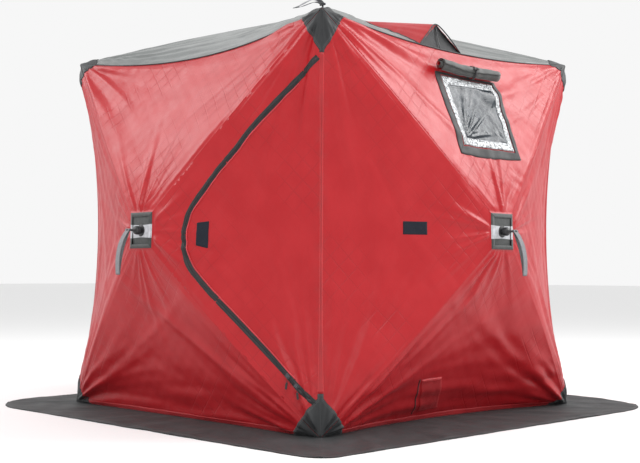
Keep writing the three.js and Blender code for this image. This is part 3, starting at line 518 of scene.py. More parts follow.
def heather_mat():
    """Outside of the rolled cover: charcoal yarns with lighter flecks."""
    N = Nodes("heather_cloth")
    vec, u, v = N.uv()
    f = N.noise(vec, 260., 3., .7)
    g = N.noise(vec, 40., 4.)
    c = N.mix(N.ramp(f, .38, .64), (.014, .016, .015), (.075, .080, .075))
    c = N.mix(N.ramp(g, .45, .75, 0, .5), c, (.05, .05, .05))
    N.link(c, N.b.inputs["Base Color"])
    N.link(N.ramp(f, .3, .7, .6, .75), N.b.inputs["Roughness"])
    N.link(N.bump(f, .0006, .7, N.bump(g, .004, .3)), N.b.inputs["Normal"])
    N.b.inputs["Sheen Weight"].default_value = .25
    MATS["heather_cloth"] = N.m


heather_mat()


def mesh_mat():
    """Fly mesh of the vent: a fine black net, the gaps between its threads painted near black as painted shade of the
    vent's inside.
    """
    N = Nodes("vent_mesh")
    vec, u, v = N.uv()
    a, b = N.math('PINGPONG', u, .0014), N.math('PINGPONG', v, .0014)
    d = N.math('MINIMUM', a, b)
    # threads dark grey, gaps near black: painted shade seen through the gaps
    c = N.mix(N.ramp(d, .0003, .0007), (.040, .040, .042), (.006, .006, .007))
    N.link(c, N.b.inputs["Base Color"])
    N.link(N.ramp(d, .0002, .0008, .5, .8), N.b.inputs["Roughness"])
    N.link(N.bump(N.ramp(d, .0008, .0002), .0006, .8), N.b.inputs["Normal"])
    MATS["vent_mesh"] = N.m


mesh_mat()


def loop_mat():
    """Fluffy loop side of a hook-and-loop patch."""
    N = Nodes("loop_patch")
    vec, u, v = N.uv()
    f = N.noise(vec, 500., 4., .7)
    c = N.mix(N.ramp(f, .35, .7), (.008, .010, .016), (.030, .034, .046))
    N.link(c, N.b.inputs["Base Color"])
    N.link(N.ramp(f, .3, .7, .75, .9), N.b.inputs["Roughness"])
    N.link(N.bump(f, .0012, .8), N.b.inputs["Normal"])
    N.b.inputs["Sheen Weight"].default_value = .05
    N.b.inputs["Specular IOR Level"].default_value = .15
    MATS["loop_patch"] = N.m


loop_mat()


# ------------------------------------------------------------ mesh helpers
def make(name, verts, faces, mats, uv=None, idx=None, smooth_on=True):
    """A mesh object from points and faces; uv is one pair per vertex, in metres."""
    verts = np.asarray(verts, float).reshape(-1, 3)
    me = bpy.data.meshes.new(name)
    me.from_pydata(verts.tolist(), [], [tuple(int(i) for i in f) for f in faces])
    for m in (mats if isinstance(mats, (list, tuple)) else [mats]):
        me.materials.append(MATS[m])
    if uv is None:
        a = np.abs(verts - verts.mean(0)).max(0)
        k = np.argsort(-a)[:2]
        uv = verts[:, sorted(k)]
    lay = me.uv_layers.new(name="cloth")
    li = np.zeros(len(me.loops), np.int32)
    me.loops.foreach_get("vertex_index", li)
    lay.data.foreach_set("uv", np.asarray(uv, np.float32)[li].ravel())
    if idx is not None:
        me.polygons.foreach_set("material_index", np.asarray(idx, np.int32))
    me.polygons.foreach_set("use_smooth", [smooth_on] * len(me.polygons))
    me.update()
    ob = bpy.data.objects.new(name, me)
    bpy.context.scene.collection.objects.link(ob)
    return ob


def grid_faces(n, m, close_n=False, base=0):
    """Quads of an n by m grid of points stored row by row."""
    i, j = np.meshgrid(np.arange(n if close_n else n - 1), np.arange(m - 1), indexing='ij')
    a = i * m + j
    b = ((i + 1) % n) * m + j
    return (np.stack([a, b, b + 1, a + 1], -1).reshape(-1, 4) + base).tolist()


def solidify(ob, thick, offset=-1., mat=0, rim=True):
    m = ob.modifiers.new("thick", "SOLIDIFY")
    m.thickness, m.offset, m.use_rim = thick, offset, rim
    m.use_even_offset = False
    m.material_offset = mat
    return m


def face_out(ob, ref):
    """Turns a sheet's faces so that they look along ref."""
    me = ob.data
    nrm = np.zeros(len(me.polygons) * 3)
    me.polygons.foreach_get("normal", nrm)
    if (nrm.reshape(-1, 3).mean(0) @ np.asarray(ref, float)) < 0:
        me.flip_normals()
    return ob


def join(name, obs):
    """One object from several, keeping their materials."""
    bpy.ops.object.select_all(action='DESELECT')
    for o in obs:
        o.select_set(True)
    bpy.context.view_layer.objects.active = obs[0]
    bpy.ops.object.join()
    obs[0].name = name
    obs[0].data.name = name
    return obs[0]


def applied(ob):
    """Applies the modifiers."""
    dg = bpy.context.evaluated_depsgraph_get()
    me = bpy.data.meshes.new_from_object(ob.evaluated_get(dg))
    old = ob.data
    ob.modifiers.clear()
    ob.data = me
    bpy.data.meshes.remove(old)
    return ob


def frames(p, up):
    """Tangent, side and up vectors along a line of points."""
    p = np.asarray(p, float)
    t = np.gradient(p, axis=0)
    t /= np.maximum(np.linalg.norm(t, axis=1, keepdims=True), 1e-12)
    up = np.broadcast_to(np.asarray(up, float), p.shape)
    s = np.cross(up, t)
    s /= np.maximum(np.linalg.norm(s, axis=1, keepdims=True), 1e-12)
    return t, s, np.cross(t, s)


def tube(name, p, r, mat, sides=8, up=(0, 0, 1), squash=1., closed=False):
    """A round cord along the points, with closed ends."""
    p = np.asarray(p, float)
    t, s, n = frames(p, up)
    r = np.broadcast_to(np.asarray(r, float), len(p))
    a = np.linspace(0, 2 * math.pi, sides, endpoint=False)
    ring = p[:, None] + (s[:, None] * np.cos(a)[None, :, None] + n[:, None] * (np.sin(a) * squash)[None, :, None]) * r[:, None, None]
    k = len(p)
    along = np.concatenate([[0], np.cumsum(np.linalg.norm(np.diff(p, axis=0), axis=1))])
    verts = ring.reshape(-1, 3)
    uv = np.stack([np.tile(a * r.mean(), k), np.repeat(along, sides)], 1)
    faces = []
    for i in range(k - 1):
        for j in range(sides):
            q = (j + 1) % sides
            faces.append((i * sides + j, i * sides + q, (i + 1) * sides + q, (i + 1) * sides + j))
    faces.append(tuple(range(sides))[::-1])
    faces.append(tuple((k - 1) * sides + j for j in range(sides)))
    return make(name, verts, faces, mat, uv)


def catmull(pts, n):
    """n points evenly spaced along a smooth line through pts."""
    p = np.asarray(pts, float)
    q = np.vstack([2 * p[0] - p[1], p, 2 * p[-1] - p[-2]])
    out = []
    for i in range(1, len(q) - 2):
        t = np.linspace(0, 1, 24, endpoint=False)[:, None]
        out.append(.5 * (2 * q[i] + (q[i + 1] - q[i - 1]) * t + (2 * q[i - 1] - 5 * q[i] + 4 * q[i + 1] - q[i + 2]) * t ** 2
                         + (3 * q[i] - q[i - 1] - 3 * q[i + 1] + q[i + 2]) * t ** 3))
    out = np.vstack(out + [p[-1:]])
    d = np.concatenate([[0], np.cumsum(np.linalg.norm(np.diff(out, axis=0), axis=1))])
    a = np.linspace(0, d[-1], n)
    return np.stack([np.interp(a, d, out[:, k]) for k in range(out.shape[1])], 1)


def inside(poly, x, y):
    poly = np.asarray(poly, float)
    c = np.zeros(len(x), bool)
    x0, y0 = poly[:, 0], poly[:, 1]
    x1, y1 = np.roll(x0, -1), np.roll(y0, -1)
    for a, b, cc, d in zip(x0, y0, x1, y1):
        hit = ((b > y) != (d > y)) & (x < (cc - a) * (y - b) / ((d - b) if d != b else 1e-12) + a)
        c ^= hit
    return c


def ribbon(name, Ft, line, offs, lifts, mat, uv_v0=0.):
    """A strip that follows a line on a panel. offs and lifts are its section, in metres."""
    line = np.asarray(line, float)
    g = np.gradient(line, axis=0)
    g /= np.maximum(np.linalg.norm(g, axis=1, keepdims=True), 1e-12)
    nx, ny = -g[:, 1], g[:, 0]
    offs, lifts = np.asarray(offs, float), np.asarray(lifts, float)
    x = line[:, 0][:, None] + nx[:, None] * offs[None]
    y = line[:, 1][:, None] + ny[:, None] * offs[None]
    p = Ft.at(x, y, np.broadcast_to(lifts[None], x.shape))
    d = np.concatenate([[0], np.cumsum(np.linalg.norm(np.diff(line, axis=0), axis=1))])
    uv = np.stack([np.repeat(d, len(offs)), np.tile(np.abs(offs - offs[0]) + uv_v0, len(line))], 1)
    ob = make(name, p.reshape(-1, 3), grid_faces(len(line), len(offs)), mat, uv)
    return face_out(ob, Ft.n3)


def quad_patch(name, Ft, corners, mat, n=14, m=14, lift=.0022, hem=.004, uvc=True):
    """A sewn-on patch over a four-cornered area of a panel, its rim turned down to the cloth."""
    c = np.asarray(corners, float)
    a = np.unique(np.concatenate([[0, .03, .07], np.linspace(.1, .9, n), [.93, .97, 1]]))
    b = np.unique(np.concatenate([[0, .03, .07], np.linspace(.1, .9, m), [.93, .97, 1]]))
    A, B = np.meshgrid(a, b, indexing='ij')
    xy = (c[0][None, None] * ((1 - A) * (1 - B))[..., None] + c[1][None, None] * (A * (1 - B))[..., None]
          + c[2][None, None] * (A * B)[..., None] + c[3][None, None] * ((1 - A) * B)[..., None])
    wA, wB = np.linalg.norm(c[1] - c[0]), np.linalg.norm(c[3] - c[0])
    rim = np.minimum(np.minimum(A, 1 - A) * wA, np.minimum(B, 1 - B) * wB)
    l = -.0004 + (lift + .0004) * smooth(rim / hem)
    p = Ft.at(xy[..., 0], xy[..., 1], l)
    uv = np.stack([(A * wA).ravel(), rim.ravel()], 1) if uvc else xy.reshape(-1, 2)
    ob = make(name, p.reshape(-1, 3), grid_faces(len(a), len(b)), mat, uv)
    return face_out(ob, Ft.n3)


def on_panel(ob, Ft):
    a, b = Ft.zone()
    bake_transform(ob)
    return ob


def flat_area(Ft):
    return (Ft.L + 2 * INN) / 2 * Ft.D


# ------------------------------------------------------------ the camera first
def camera():
    cam = bpy.data.objects.new("camera", bpy.data.cameras.new("camera"))
    bpy.context.scene.collection.objects.link(cam)
    cam.location = (4.1933, -4.1708, .6762)
    yaw, pitch, roll = math.radians(135.252), math.radians(2.152), math.radians(.207)
    fw = V(math.cos(pitch) * math.cos(yaw), math.cos(pitch) * math.sin(yaw), math.sin(pitch))
    r = V(math.sin(yaw), -math.cos(yaw), 0)
    u = np.cross(r, fw)
    rr = r * math.cos(roll) + u * math.sin(roll)
    uu = -r * math.sin(roll) + u * math.cos(roll)
    M = Matrix(((rr[0], uu[0], -fw[0]), (rr[1], uu[1], -fw[1]), (rr[2], uu[2], -fw[2])))
    cam.rotation_mode = 'QUATERNION'
    cam.rotation_quaternion = M.to_quaternion()
    cam.data.lens, cam.data.sensor_width = 63.617, 36
    cam.data.clip_start, cam.data.clip_end = .05, 200
    bpy.context.scene.camera = cam


camera()

# ------------------------------------------------------------ features laid out on the panels
FR = F['front_right']
DOOR_LINE = [(.105, .014), (.110, .068), (.116, .14), (.124, .24), (.142, .385), (.170, .475), (.202, .575), (.255, .655), (.335, .730), (.445, .765), (.580, .775),
             (.715, .762), (.805, .715), (.858, .60), (.885, .47), (.903, .34), (.918, .20), (.927, .11), (.929, .068), (.930, .014)]
HINGE_T = .13


def xy_of(Ft, s, t):
    s, t = np.asarray(s, float), np.asarray(t, float)
    y = t * Ft.D
    return np.stack([(s - .5) * Ft.width(y), y], -1)


_dl = np.array(DOOR_LINE)
door_xy = catmull(xy_of(FR, _dl[:, 0], _dl[:, 1]), 300)


def near_line(line, x, y):
    """Distance to a line of points, and how far along it."""
    d = np.concatenate([[0], np.cumsum(np.linalg.norm(np.diff(line, axis=0), axis=1))])
    best, arc = np.full(len(x), 9.), np.zeros(len(x))
    for k in range(0, len(line), 2):
        q = np.hypot(x - line[k, 0], y - line[k, 1])
        m = q < best
        best[m], arc[m] = q[m], d[k]
    return best, arc


def zip_folds(x, y):
    d, a = near_line(door_xy, x, y)
    m = smooth(vnoise(a / .22, np.zeros_like(a) + 4.5, 801) + .55)
    return .0062 * m * vnoise(a / .024 + d * 6, d / .12, 803) * np.exp(-d / .060) * smooth(d / .012)


FR.extra.append(zip_folds)
hy = HINGE_T * FR.D
ks = np.where(door_xy[:, 1] > hy)[0]
i0, i1 = ks[0], ks[-1]


def cut_at(i, j):
    a, b = door_xy[i], door_xy[j]
    k = (hy - a[1]) / (b[1] - a[1])
    return a + (b - a) * k


leaf_line = np.vstack([cut_at(i0 - 1, i0), door_xy[i0:i1 + 1], cut_at(i1 + 1, i1)])
hinge_n = 90
hinge_pts = np.stack([np.linspace(leaf_line[-1, 0], leaf_line[0, 0], hinge_n), np.full(hinge_n, hy)], 1)
leaf_poly = np.vstack([leaf_line, hinge_pts[1:-1]])

RT = F['right_top']
WIN = dict(y0=-.192, y1=.257, z0=1.216, z1=1.602)
SIL = dict(y0=-.152, y1=.224, z0=1.256, z1=1.586)
PAN = dict(y0=-.120, y1=.194, z0=1.292, z1=1.548)


def yz(Ft, y, z, g=(.5, .5)):
    return Ft.find(lambda p: (p[1] - y, p[2] - z), g)


def rect_loop(r, inset=0., per=16):
    y0, y1, z0, z1 = r['y0'] + inset, r['y1'] - inset, r['z0'] + inset, r['z1'] - inset
    c = [(y0, z0), (y1, z0), (y1, z1), (y0, z1)]
    out = []
    for k in range(4):
        a, b = np.array(c[k]), np.array(c[(k + 1) % 4])
        for q in range(per):
            out.append(yz(RT, *(a + (b - a) * q / per)))
    return np.array(out)


win_hole = rect_loop(PAN, -.010)


def right_folds(x, y):
    """Long shallow dents round the window and the hub, where the cloth is slack."""
    return .0030 * vnoise(x / .06, y / .24, 911) * np.exp(-((y - .62) / .16) ** 2)


RT.extra.append(right_folds)

# ------------------------------------------------------------ panels
FINE = dict(front=(132, 76), right=(132, 76), roof=(108, 58), back=(92, 50), left=(92, 50))
T_PATCH = 1 - (PATCH - INN) / .838


def rows(Ft):
    ns, nt = FINE[Ft.wall]
    return np.linspace(0, 1, ns + 1), np.concatenate([np.linspace(0, T_PATCH, nt + 1), [T_PATCH + 1e-4 + .0015, 1.]])


def plain_panel(Ft):
    sv, tv = rows(Ft)
    S, T = np.meshgrid(sv, tv, indexing='ij')
    xy = xy_of(Ft, S, T)
    lift = np.where(T > T_PATCH + 1e-6, .0016, 0.)
    p = Ft.at(xy[..., 0], xy[..., 1], lift)
    faces = grid_faces(len(sv), len(tv))
    jt = np.tile(np.arange(len(tv) - 1), len(sv) - 1)
    idx = np.where(jt >= len(tv) - 2, 2, 0)
    return p.reshape(-1, 3), faces, xy.reshape(-1, 2), idx


def cut_panel(Ft, loops):
    """The panel as triangles that follow the given closed loops; returns one mesh for outside and one for each loop."""
    sv, tv = rows(Ft)
    edge = [xy_of(Ft, sv, np.zeros_like(sv)), xy_of(Ft, np.ones(len(tv) - 1), tv[1:]),
            xy_of(Ft, sv[::-1][1:], np.ones(len(sv) - 1)), xy_of(Ft, np.zeros(len(tv) - 2), tv[::-1][1:-1])]
    border = np.vstack(edge)
    h = Ft.L / (len(sv) - 1) * .64
    ys = np.arange(h * .8, Ft.D - h * .3, h * .87)
    pts = []
    for k, y in enumerate(ys):
        w = Ft.width(y) / 2 - h * .55
        xs = np.arange(-w, w, h) + (h / 2 if k % 2 else 0)
        xs = xs[np.abs(xs) < w]
        pts.append(np.stack([xs, np.full(len(xs), y)], 1))
    # one row on the patch's rim so that its step is straight
    yp = T_PATCH * Ft.D
    pts = np.vstack(pts)
    pts = pts[np.abs(pts[:, 1] - yp) > h * .6]
    near = np.full(len(pts), 9.)
    for lp in loops:
        for q in lp:
            near = np.minimum(near, np.hypot(pts[:, 0] - q[0], pts[:, 1] - q[1]))
    pts = pts[near > h * .55]
    allp, edges, k = [border], [], len(border)
    edges += [(i, (i + 1) % k) for i in range(k)]
    for lp in loops:
        m = len(lp)
        edges += [(k + i, k + (i + 1) % m) for i in range(m)]
        allp.append(lp)
        k += m
    for tt in (T_PATCH, T_PATCH + .0016):
        y = tt * Ft.D
        q = np.stack([np.linspace(-.5, .5, 13) * Ft.width(y), np.full(13, y)], 1)
        edges += [(k + i, k + i + 1) for i in range(12)]
        allp.append(q)
        k += 13
    allp.append(pts)
    allp = np.vstack(allp)
    vs, es, fs, _, _, _ = geometry.delaunay_2d_cdt([Vector(q) for q in allp], edges, [], 0, 1e-7)
    vs = np.array([tuple(q) for q in vs])
    fs = np.array([tuple(f) for f in fs if len(f) == 3])
    cen = vs[fs].mean(1)
    keep = inside(border, cen[:, 0], cen[:, 1])
    fs, cen = fs[keep], cen[keep]
    lab = np.zeros(len(fs), int)
    for i, lp in enumerate(loops):
        lab[inside(lp, cen[:, 0], cen[:, 1])] = i + 1
    out = []
    for i in range(len(loops) + 1):
        f = fs[lab == i]
        used, inv = np.unique(f, return_inverse=True)
        xy = vs[used]
        t = xy[:, 1] / Ft.D
        p = Ft.at(xy[:, 0], xy[:, 1], np.where(t > T_PATCH + 1e-6, .0016, 0.))
        ff = inv.reshape(-1, 3)
        idx = np.where((xy[ff][:, :, 1].mean(1) / Ft.D) > T_PATCH + .0016, 2, 0)
        out.append((p, ff.tolist(), xy, idx))
    return out


def panel_uv(Ft, p, xy, idx, faces):
    """Cloth coordinates: the panel's xy as they are; the hub patch's own, measured from the hub, are set in
    panel_object.
    """
    return xy


def hub_uv(Ft, p):
    q = np.asarray(p) - Ft.o3
    return np.stack([q @ Ft.t3, q @ Ft.u3], 1)


def panel_object(name, Ft, p, faces, xy, idx, cloth, node, rim=True):
    ob = make(name, p, faces, [cloth, "lining_black", "hub_patch", "lining_black"], np.stack([xy[:, 0] + Ft.L / 2, xy[:, 1]], 1), idx)
    # patch faces read their place from the hub
    lay = ob.data.uv_layers["cloth"].data
    hu = hub_uv(Ft, p)
    for poly in ob.data.polygons:
        if poly.material_index == 2:
            for li in poly.loop_indices:
                lay[li].uv = hu[ob.data.loops[li].vertex_index]
    face_out(ob, Ft.n3)
    solidify(ob, .0020, -1., 1, rim)
    if node:
        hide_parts(node)
    return ob


for key, Ft in F.items():
    cloth = "grey_oxford" if Ft.wall == 'roof' else "red_oxford"
    if Ft is FR:
        rest, leaf = cut_panel(Ft, [leaf_poly])
        ob = panel_object("front_right_cloth", Ft, *rest, cloth, Ft.body, False)
        on_panel(ob, Ft)
        door = panel_object("door_leaf", Ft, *leaf, cloth, "door_flap", False)
        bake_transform(door)
    elif Ft is RT:
        rest, hole = cut_panel(Ft, [win_hole])
        ob = panel_object("right_top_cloth", Ft, *rest, cloth, Ft.body)
        on_panel(ob, Ft)
    else:
        p, faces, xy, idx = plain_panel(Ft)
        ob = panel_object(key + "_cloth", Ft, p, faces, xy, idx, cloth, Ft.body)
        on_panel(ob, Ft)

# ------------------------------------------------------------ corner patches and seams
SIDES = dict(front='right', right='back', back='left', left='front')
CORNER = dict(front_right=('front', 'right'), back_right=('right', 'back'), back_left=('back', 'left'), front_left=('left', 'front'))


def corner_part(Ft, s_end, along_edge, along_ridge, n=26):
    """The part of a corner patch on one panel: from the corner at s_end along its outer edge and its ridge."""
    base_len = along_edge / Ft.L
    ridge = along_ridge / float(np.linalg.norm((Ft.Ai if s_end == 0 else Ft.Bi) - (Ft.A if s_end == 0 else Ft.B)))
    vs, uv, idx = [], [], {}
    for i in range(n + 1):
        for j in range(n + 1 - i):
            s, t = base_len * i / n, ridge * j / n
            vs.append((s if s_end == 0 else 1 - s, t))
            rim = (1 - (i + j) / n) * min(along_edge, along_ridge) * .85
            uv.append((math.hypot(s * Ft.L, t * Ft.D) + (i - j) / n * .1, rim))
            idx[i, j] = len(vs) - 1
    vs, uv = np.array(vs), np.array(uv)
    xy = xy_of(Ft, vs[:, 0], vs[:, 1])
    lift = .0006 + .0030 * smooth(uv[:, 1] / .005)
    p = Ft.at(xy[:, 0], xy[:, 1], lift)
    fs = []
    for i in range(n):
        for j in range(n - i):
            fs.append((idx[i, j], idx[i + 1, j], idx[i, j + 1]))
            if j < n - i - 1:
                fs.append((idx[i + 1, j], idx[i + 1, j + 1], idx[i, j + 1]))
    ob = make("part", p, fs, "charcoal_oxford", uv)
    return face_out(ob, Ft.n3)


def edge_line(Ft, s0, s1, n, t=0.):
    s = np.linspace(s0, s1, n)
    return Ft.P(s, np.full(n, t))


for cname, (wa, wb) in CORNER.items():
    # wa's right edge is wb's left edge; s runs down wa's right edge
    for where in ('top', 'foot'):
        parts = []
        ra, lb = F[wa + '_right'], F[wb + '_left']
        V_, E_, R_ = (.180, .125, .101) if where == 'top' else (.165, .158, .112)
        parts.append(corner_part(ra, 0 if where == 'top' else 1, V_, R_))
        parts.append(corner_part(lb, 1 if where == 'top' else 0, V_, R_))
        if where == 'top':
            parts.append(corner_part(F[wa + '_top'], 1, E_, R_))
            parts.append(corner_part(F[wb + '_top'], 0, E_, R_))
            rs = {v: k for k, v in ROOF_SIDE.items()}
            fa, fb = F['roof_' + wa], F['roof_' + wb]
            corner = np.array([ra.A[0], ra.A[1], EAVE])
            for f in (fa, fb):
                s_end = 0 if np.linalg.norm(f.A - corner) < 1e-6 else 1
                parts.append(corner_part(f, s_end, E_, R_))
        else:
            parts.append(corner_part(F[wa + '_bottom'], 0, E_, R_))
            parts.append(corner_part(F[wb + '_bottom'], 1, E_, R_))
        ob = join(f"corner_patch_{where}_{cname}", parts)
        bm = bmesh.new()
        bm.from_mesh(ob.data)
        bmesh.ops.remove_doubles(bm, verts=bm.verts, dist=.0022)
        bm.to_mesh(ob.data)
        bm.free()
        solidify(ob, .0012, -1.)
        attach(ob, "shell_seams")
        if where == 'top':
            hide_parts(f"corner_seam_{cname}")
    # the vertical seam: a sewn tape folded over the corner, with its raised fell in the middle
    ra, lb = F[wa + '_right'], F[wb + '_left']
    for tag, sa_, sb_, n, stuff in (('', .099, .901, 110, 'red_tape'), ('_top', .001, .100, 16, 'charcoal_oxford'), ('_foot', .900, .9965, 16, 'charcoal_oxford')):
        s = np.linspace(sa_, sb_, n)
        sec = [(ra, .0080, .0004), (ra, .0072, .0014), (ra, .0040, .0018), (ra, .0016, .0024), (None, 0, .0050), (lb, .0016, .0024), (lb, .0040, .0018), (lb, .0072, .0014), (lb, .0080, .0004)]
        cols, vv = [], []
        for f, off, lift in sec:
            if f is None:
                p = ra.P(s, np.zeros(n)) + (ra.n3 + lb.n3) / math.sqrt(2) * lift
                vv.append(.007)
            elif f is ra:
                xy = xy_of(f, s, np.zeros(n))
                p = f.at(xy[:, 0], xy[:, 1] + off, lift)
                vv.append(.007 - off * .5)
            else:
                xy = xy_of(f, 1 - s, np.zeros(n))
                p = f.at(xy[:, 0], xy[:, 1] + off, lift)
                vv.append(.007 + off * .5)
            cols.append(p)
        P = np.stack(cols, 1)
        uv = np.stack([np.repeat(s * ra.L, len(sec)), np.tile(vv, n)], 1)
        ob = make(f"corner_tape{tag}_{cname}", P.reshape(-1, 3), grid_faces(n, len(sec)), stuff, uv)
        face_out(ob, ra.n3 + lb.n3)
        solidify(ob, .0010, -1.)
        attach(ob, "shell_seams")

for wall in ('front', 'right', 'back', 'left'):
    top = F[wall + '_top']
    n = 120
    s = np.linspace(.004, .996, n)
    p = top.P(s, np.zeros(n))
    outw = (top.n3 * .75 + V(0, 0, 1) * .65)
    lim = smooth(np.minimum(s, 1 - s) / .03)
    line = p + outw / np.linalg.norm(outw) * .0018
    ob = tube(f"eave_piping_{wall}", line, .0030, "piping_dark", 8, up=tuple(top.n3))
    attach(ob, "shell_seams")
    # lower hem: a narrow red turning above the skirt
    bot = F[wall + '_bottom']
    s = np.linspace(.07, .93, 120)
    xy = xy_of(bot, s, np.zeros(120))
    hem = ribbon(f"foot_hem_{wall}", bot, np.stack([xy[:, 0], np.full(120, .0)], 1), [.0005, .004, .012, .0225, .024], [.0016, .0022, .0022, .0020, .0004], "red_tape")
    solidify(hem, .0012, -1.)
    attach(hem, "shell_seams")

# ------------------------------------------------------------ ground skirt
def rounded_square(half, radii, n_side=90, n_arc=26):
    """Outline, anticlockwise from above, starting on the front side; radii for front-right, back-right, back-left, front-left."""
    pts = []
    cs = [(half, -half), (half, half), (-half, half), (-half, -half)]
    dirs = [(1, 0), (0, 1), (-1, 0), (0, -1)]
    for k in range(4):
        r0, r1 = radii[(k - 1) % 4], radii[k]
        cx, cy = cs[k]
        px, py = cs[(k - 1) % 4]
        dx, dy = dirs[k]
        a = np.array([px + dx * r0, py + dy * r0])
        b = np.array([cx - dx * r1, cy - dy * r1])
        for q in np.linspace(0, 1, n_side, endpoint=False):
            pts.append(a + (b - a) * q)
        ctr = b + np.array([-dy, dx]) * r1
        a0 = math.atan2(dy, dx) - math.pi / 2
        for q in np.linspace(0, math.pi / 2, n_arc, endpoint=False):
            pts.append(ctr + r1 * np.array([math.cos(a0 + q), math.sin(a0 + q)]))
    return np.array(pts)


outer = rounded_square(SKIRT - .008, [ROUND_NEAR, ROUND_FAR, ROUND_FAR, ROUND_FAR])
ang_o = np.arctan2(outer[:, 1], outer[:, 0])
foot = []
for wall in ('front', 'right', 'back', 'left'):
    bot = F[wall + '_bottom']
    s = np.linspace(1, 0, 160, endpoint=False)
    foot.append(bot.P(s, np.zeros(160))[:, :2])
foot = np.vstack(foot)
ang_f = np.unwrap(np.arctan2(foot[:, 1], foot[:, 0]))
o = np.argsort(np.mod(ang_f, 2 * math.pi))
fa_, ff_ = np.mod(ang_f, 2 * math.pi)[o], foot[o]
k = len(outer)
ao = np.mod(ang_o, 2 * math.pi)
inner = np.stack([np.interp(ao, np.concatenate([fa_ - 2 * math.pi, fa_, fa_ + 2 * math.pi]), np.tile(ff_[:, c], 3)) for c in (0, 1)], 1)
rng = np.random.default_rng(77)
NR = 22
rad = np.concatenate([[0, .012, .03], np.linspace(.06, .95, NR), [.965, .98, .99, 1.]])
arc = np.concatenate([[0], np.cumsum(np.linalg.norm(np.diff(outer, axis=0), axis=1))])
vs, uv = [], []
wav = .010 * vnoise(arc / .16, arc * 0 + .5, 5) + .006 * vnoise(arc / .05, arc * 0 + 2.5, 6)
wav *= smooth(np.minimum(arc, arc[-1] - arc) / .2)
out_dir = outer / np.linalg.norm(outer, axis=1, keepdims=True)
outer_w = outer - out_dir * (np.abs(wav) * .9)[:, None]
for r in rad:
    q = inner + (outer_w - inner) * r
    q = q - out_dir * (.006 * (1 - r))
    lengths = np.linalg.norm(outer_w - inner, axis=1) * r
    z = .0042 + .0075 * np.exp(-lengths / .018)
    rip = .5 + .5 * vnoise(arc / .115 + 2, np.full(k, r * 2.2), 9)
    rip2 = .5 + .5 * vnoise(arc / .045 + 2, np.full(k, r * 5.), 12)
    z = z + (.0085 * rip ** 2 + .0022 * rip2) * smooth(lengths / .06) * (.55 + .45 * r)
    z = z * (1 - .55 * smooth((r - .93) / .07)) + .0008
    diag = np.exp(-((np.abs(np.abs(q[:, 0]) - np.abs(q[:, 1]))) / .020) ** 2) * smooth((r - .02) / .1)
    z = z + .0030 * diag
    vs.append(np.stack([q[:, 0], q[:, 1], z], 1))
    uv.append(np.stack([arc, np.full(k, 1.) * (np.linalg.norm(outer_w - inner, axis=1) * (1 - r))], 1))
P = np.stack(vs, 1)
UVs = np.stack(uv, 1)
skirt = make("skirt_cloth", P.reshape(-1, 3), grid_faces(k, len(rad), close_n=True), "charcoal_skirt", UVs.reshape(-1, 2))
face_out(skirt, (0, 0, 1))
solidify(skirt, .0022, -1.)
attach(skirt, "shell_seams")
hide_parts("ground_skirt")

# ------------------------------------------------------------ zipper round the door
def tape(name, line, offs, lifts, mat, who):
    ob = ribbon(name, FR, line, offs, lifts, mat)
    solidify(ob, .0009, -1.)
    return ob


def ride_door(ob):
    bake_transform(ob)
    return ob


# offsets: negative is one side of the line, positive the other; find which side is the door
g_ = np.gradient(door_xy, axis=0)
mid_ = len(door_xy) // 2
probe = door_xy[mid_] + np.array([-g_[mid_][1], g_[mid_][0]]) / np.linalg.norm(g_[mid_]) * .03
DS = 1. if inside(leaf_poly, probe[:1], probe[1:])[0] else -1.
ot = tape("zipper_tape_frame", door_xy, -DS * np.array([.0006, .002, .008, .0125, .0135]), [.0026, .0026, .0022, .0020, .0005], "black_tape", None)
on_panel(ot, FR)
lt = tape("zipper_tape_door", leaf_line, DS * np.array([.0006, .002, .007, .0105, .0115]), [.0026, .0026, .0022, .0020, .0005], "black_tape", None)
ride_door(lt)
for nm, line in (("zipper_tape_end_top", door_xy[:i0 + 1]), ("zipper_tape_end_foot", door_xy[i1:])):
    e = tape(nm, line, DS * np.array([.0006, .002, .007, .0105, .0115]), [.0026, .0026, .0022, .0020, .0005], "black_tape", None)
    on_panel(e, FR)
# coil: a row of small teeth down the middle
line = catmull(door_xy, 620)
pc = FR.at(line[:, 0], line[:, 1], .0030)
nc = FR.N(*FR.st(line[:, 0], line[:, 1]))
tc_, sc_, uc_ = frames(pc, nc)
vs, fs, uvs = [], [], []
box = np.array([(-1, -1, 0), (1, -1, 0), (1, 1, 0), (-1, 1, 0), (-.7, -.75, 1), (.7, -.75, 1), (.7, .75, 1), (-.7, .75, 1)], float)
bf = [(0, 3, 2, 1), (4, 5, 6, 7), (0, 1, 5, 4), (1, 2, 6, 5), (2, 3, 7, 6), (3, 0, 4, 7)]
for i in range(1, len(line) - 1):
    for sgn in (-1, 1):
        c0 = pc[i] + sc_[i] * sgn * .0013 + tc_[i] * (sgn * .0009)
        b0 = len(vs) * 1
        for q in box:
            vs.append(c0 + tc_[i] * q[0] * .0011 + sc_[i] * q[1] * .0024 + uc_[i] * (q[2] * .0019 - .0006))
            uvs.append((i * .004 + q[0] * .001, q[1] * .002))
        fs += [tuple(b0 + k for k in f) for f in bf]
teeth = make("zipper_teeth", vs, fs, "moulded_black", uvs, smooth_on=False)
on_panel(teeth, FR)
# red piping just inside the door's tape
pl = ribbon("t", FR, leaf_line, [DS * .0150, DS * .0151], [.002, .002], "piping_red")
co = np.array([v.co for v in pl.data.vertices])[::2]
bpy.data.objects.remove(pl)
pip = tube("door_piping", co, .0026, "piping_red", 8, up=tuple(FR.n3))
ride_door(pip)


# ------------------------------------------------------------ zipper sliders
def place(ob, o, x, y, z):
    """Puts a mesh built at the origin onto an origin and three axes."""
    M = Matrix(((x[0], y[0], z[0], o[0]), (x[1], y[1], z[1], o[1]), (x[2], y[2], z[2], o[2]), (0, 0, 0, 1)))
    ob.data.transform(M)
    return ob


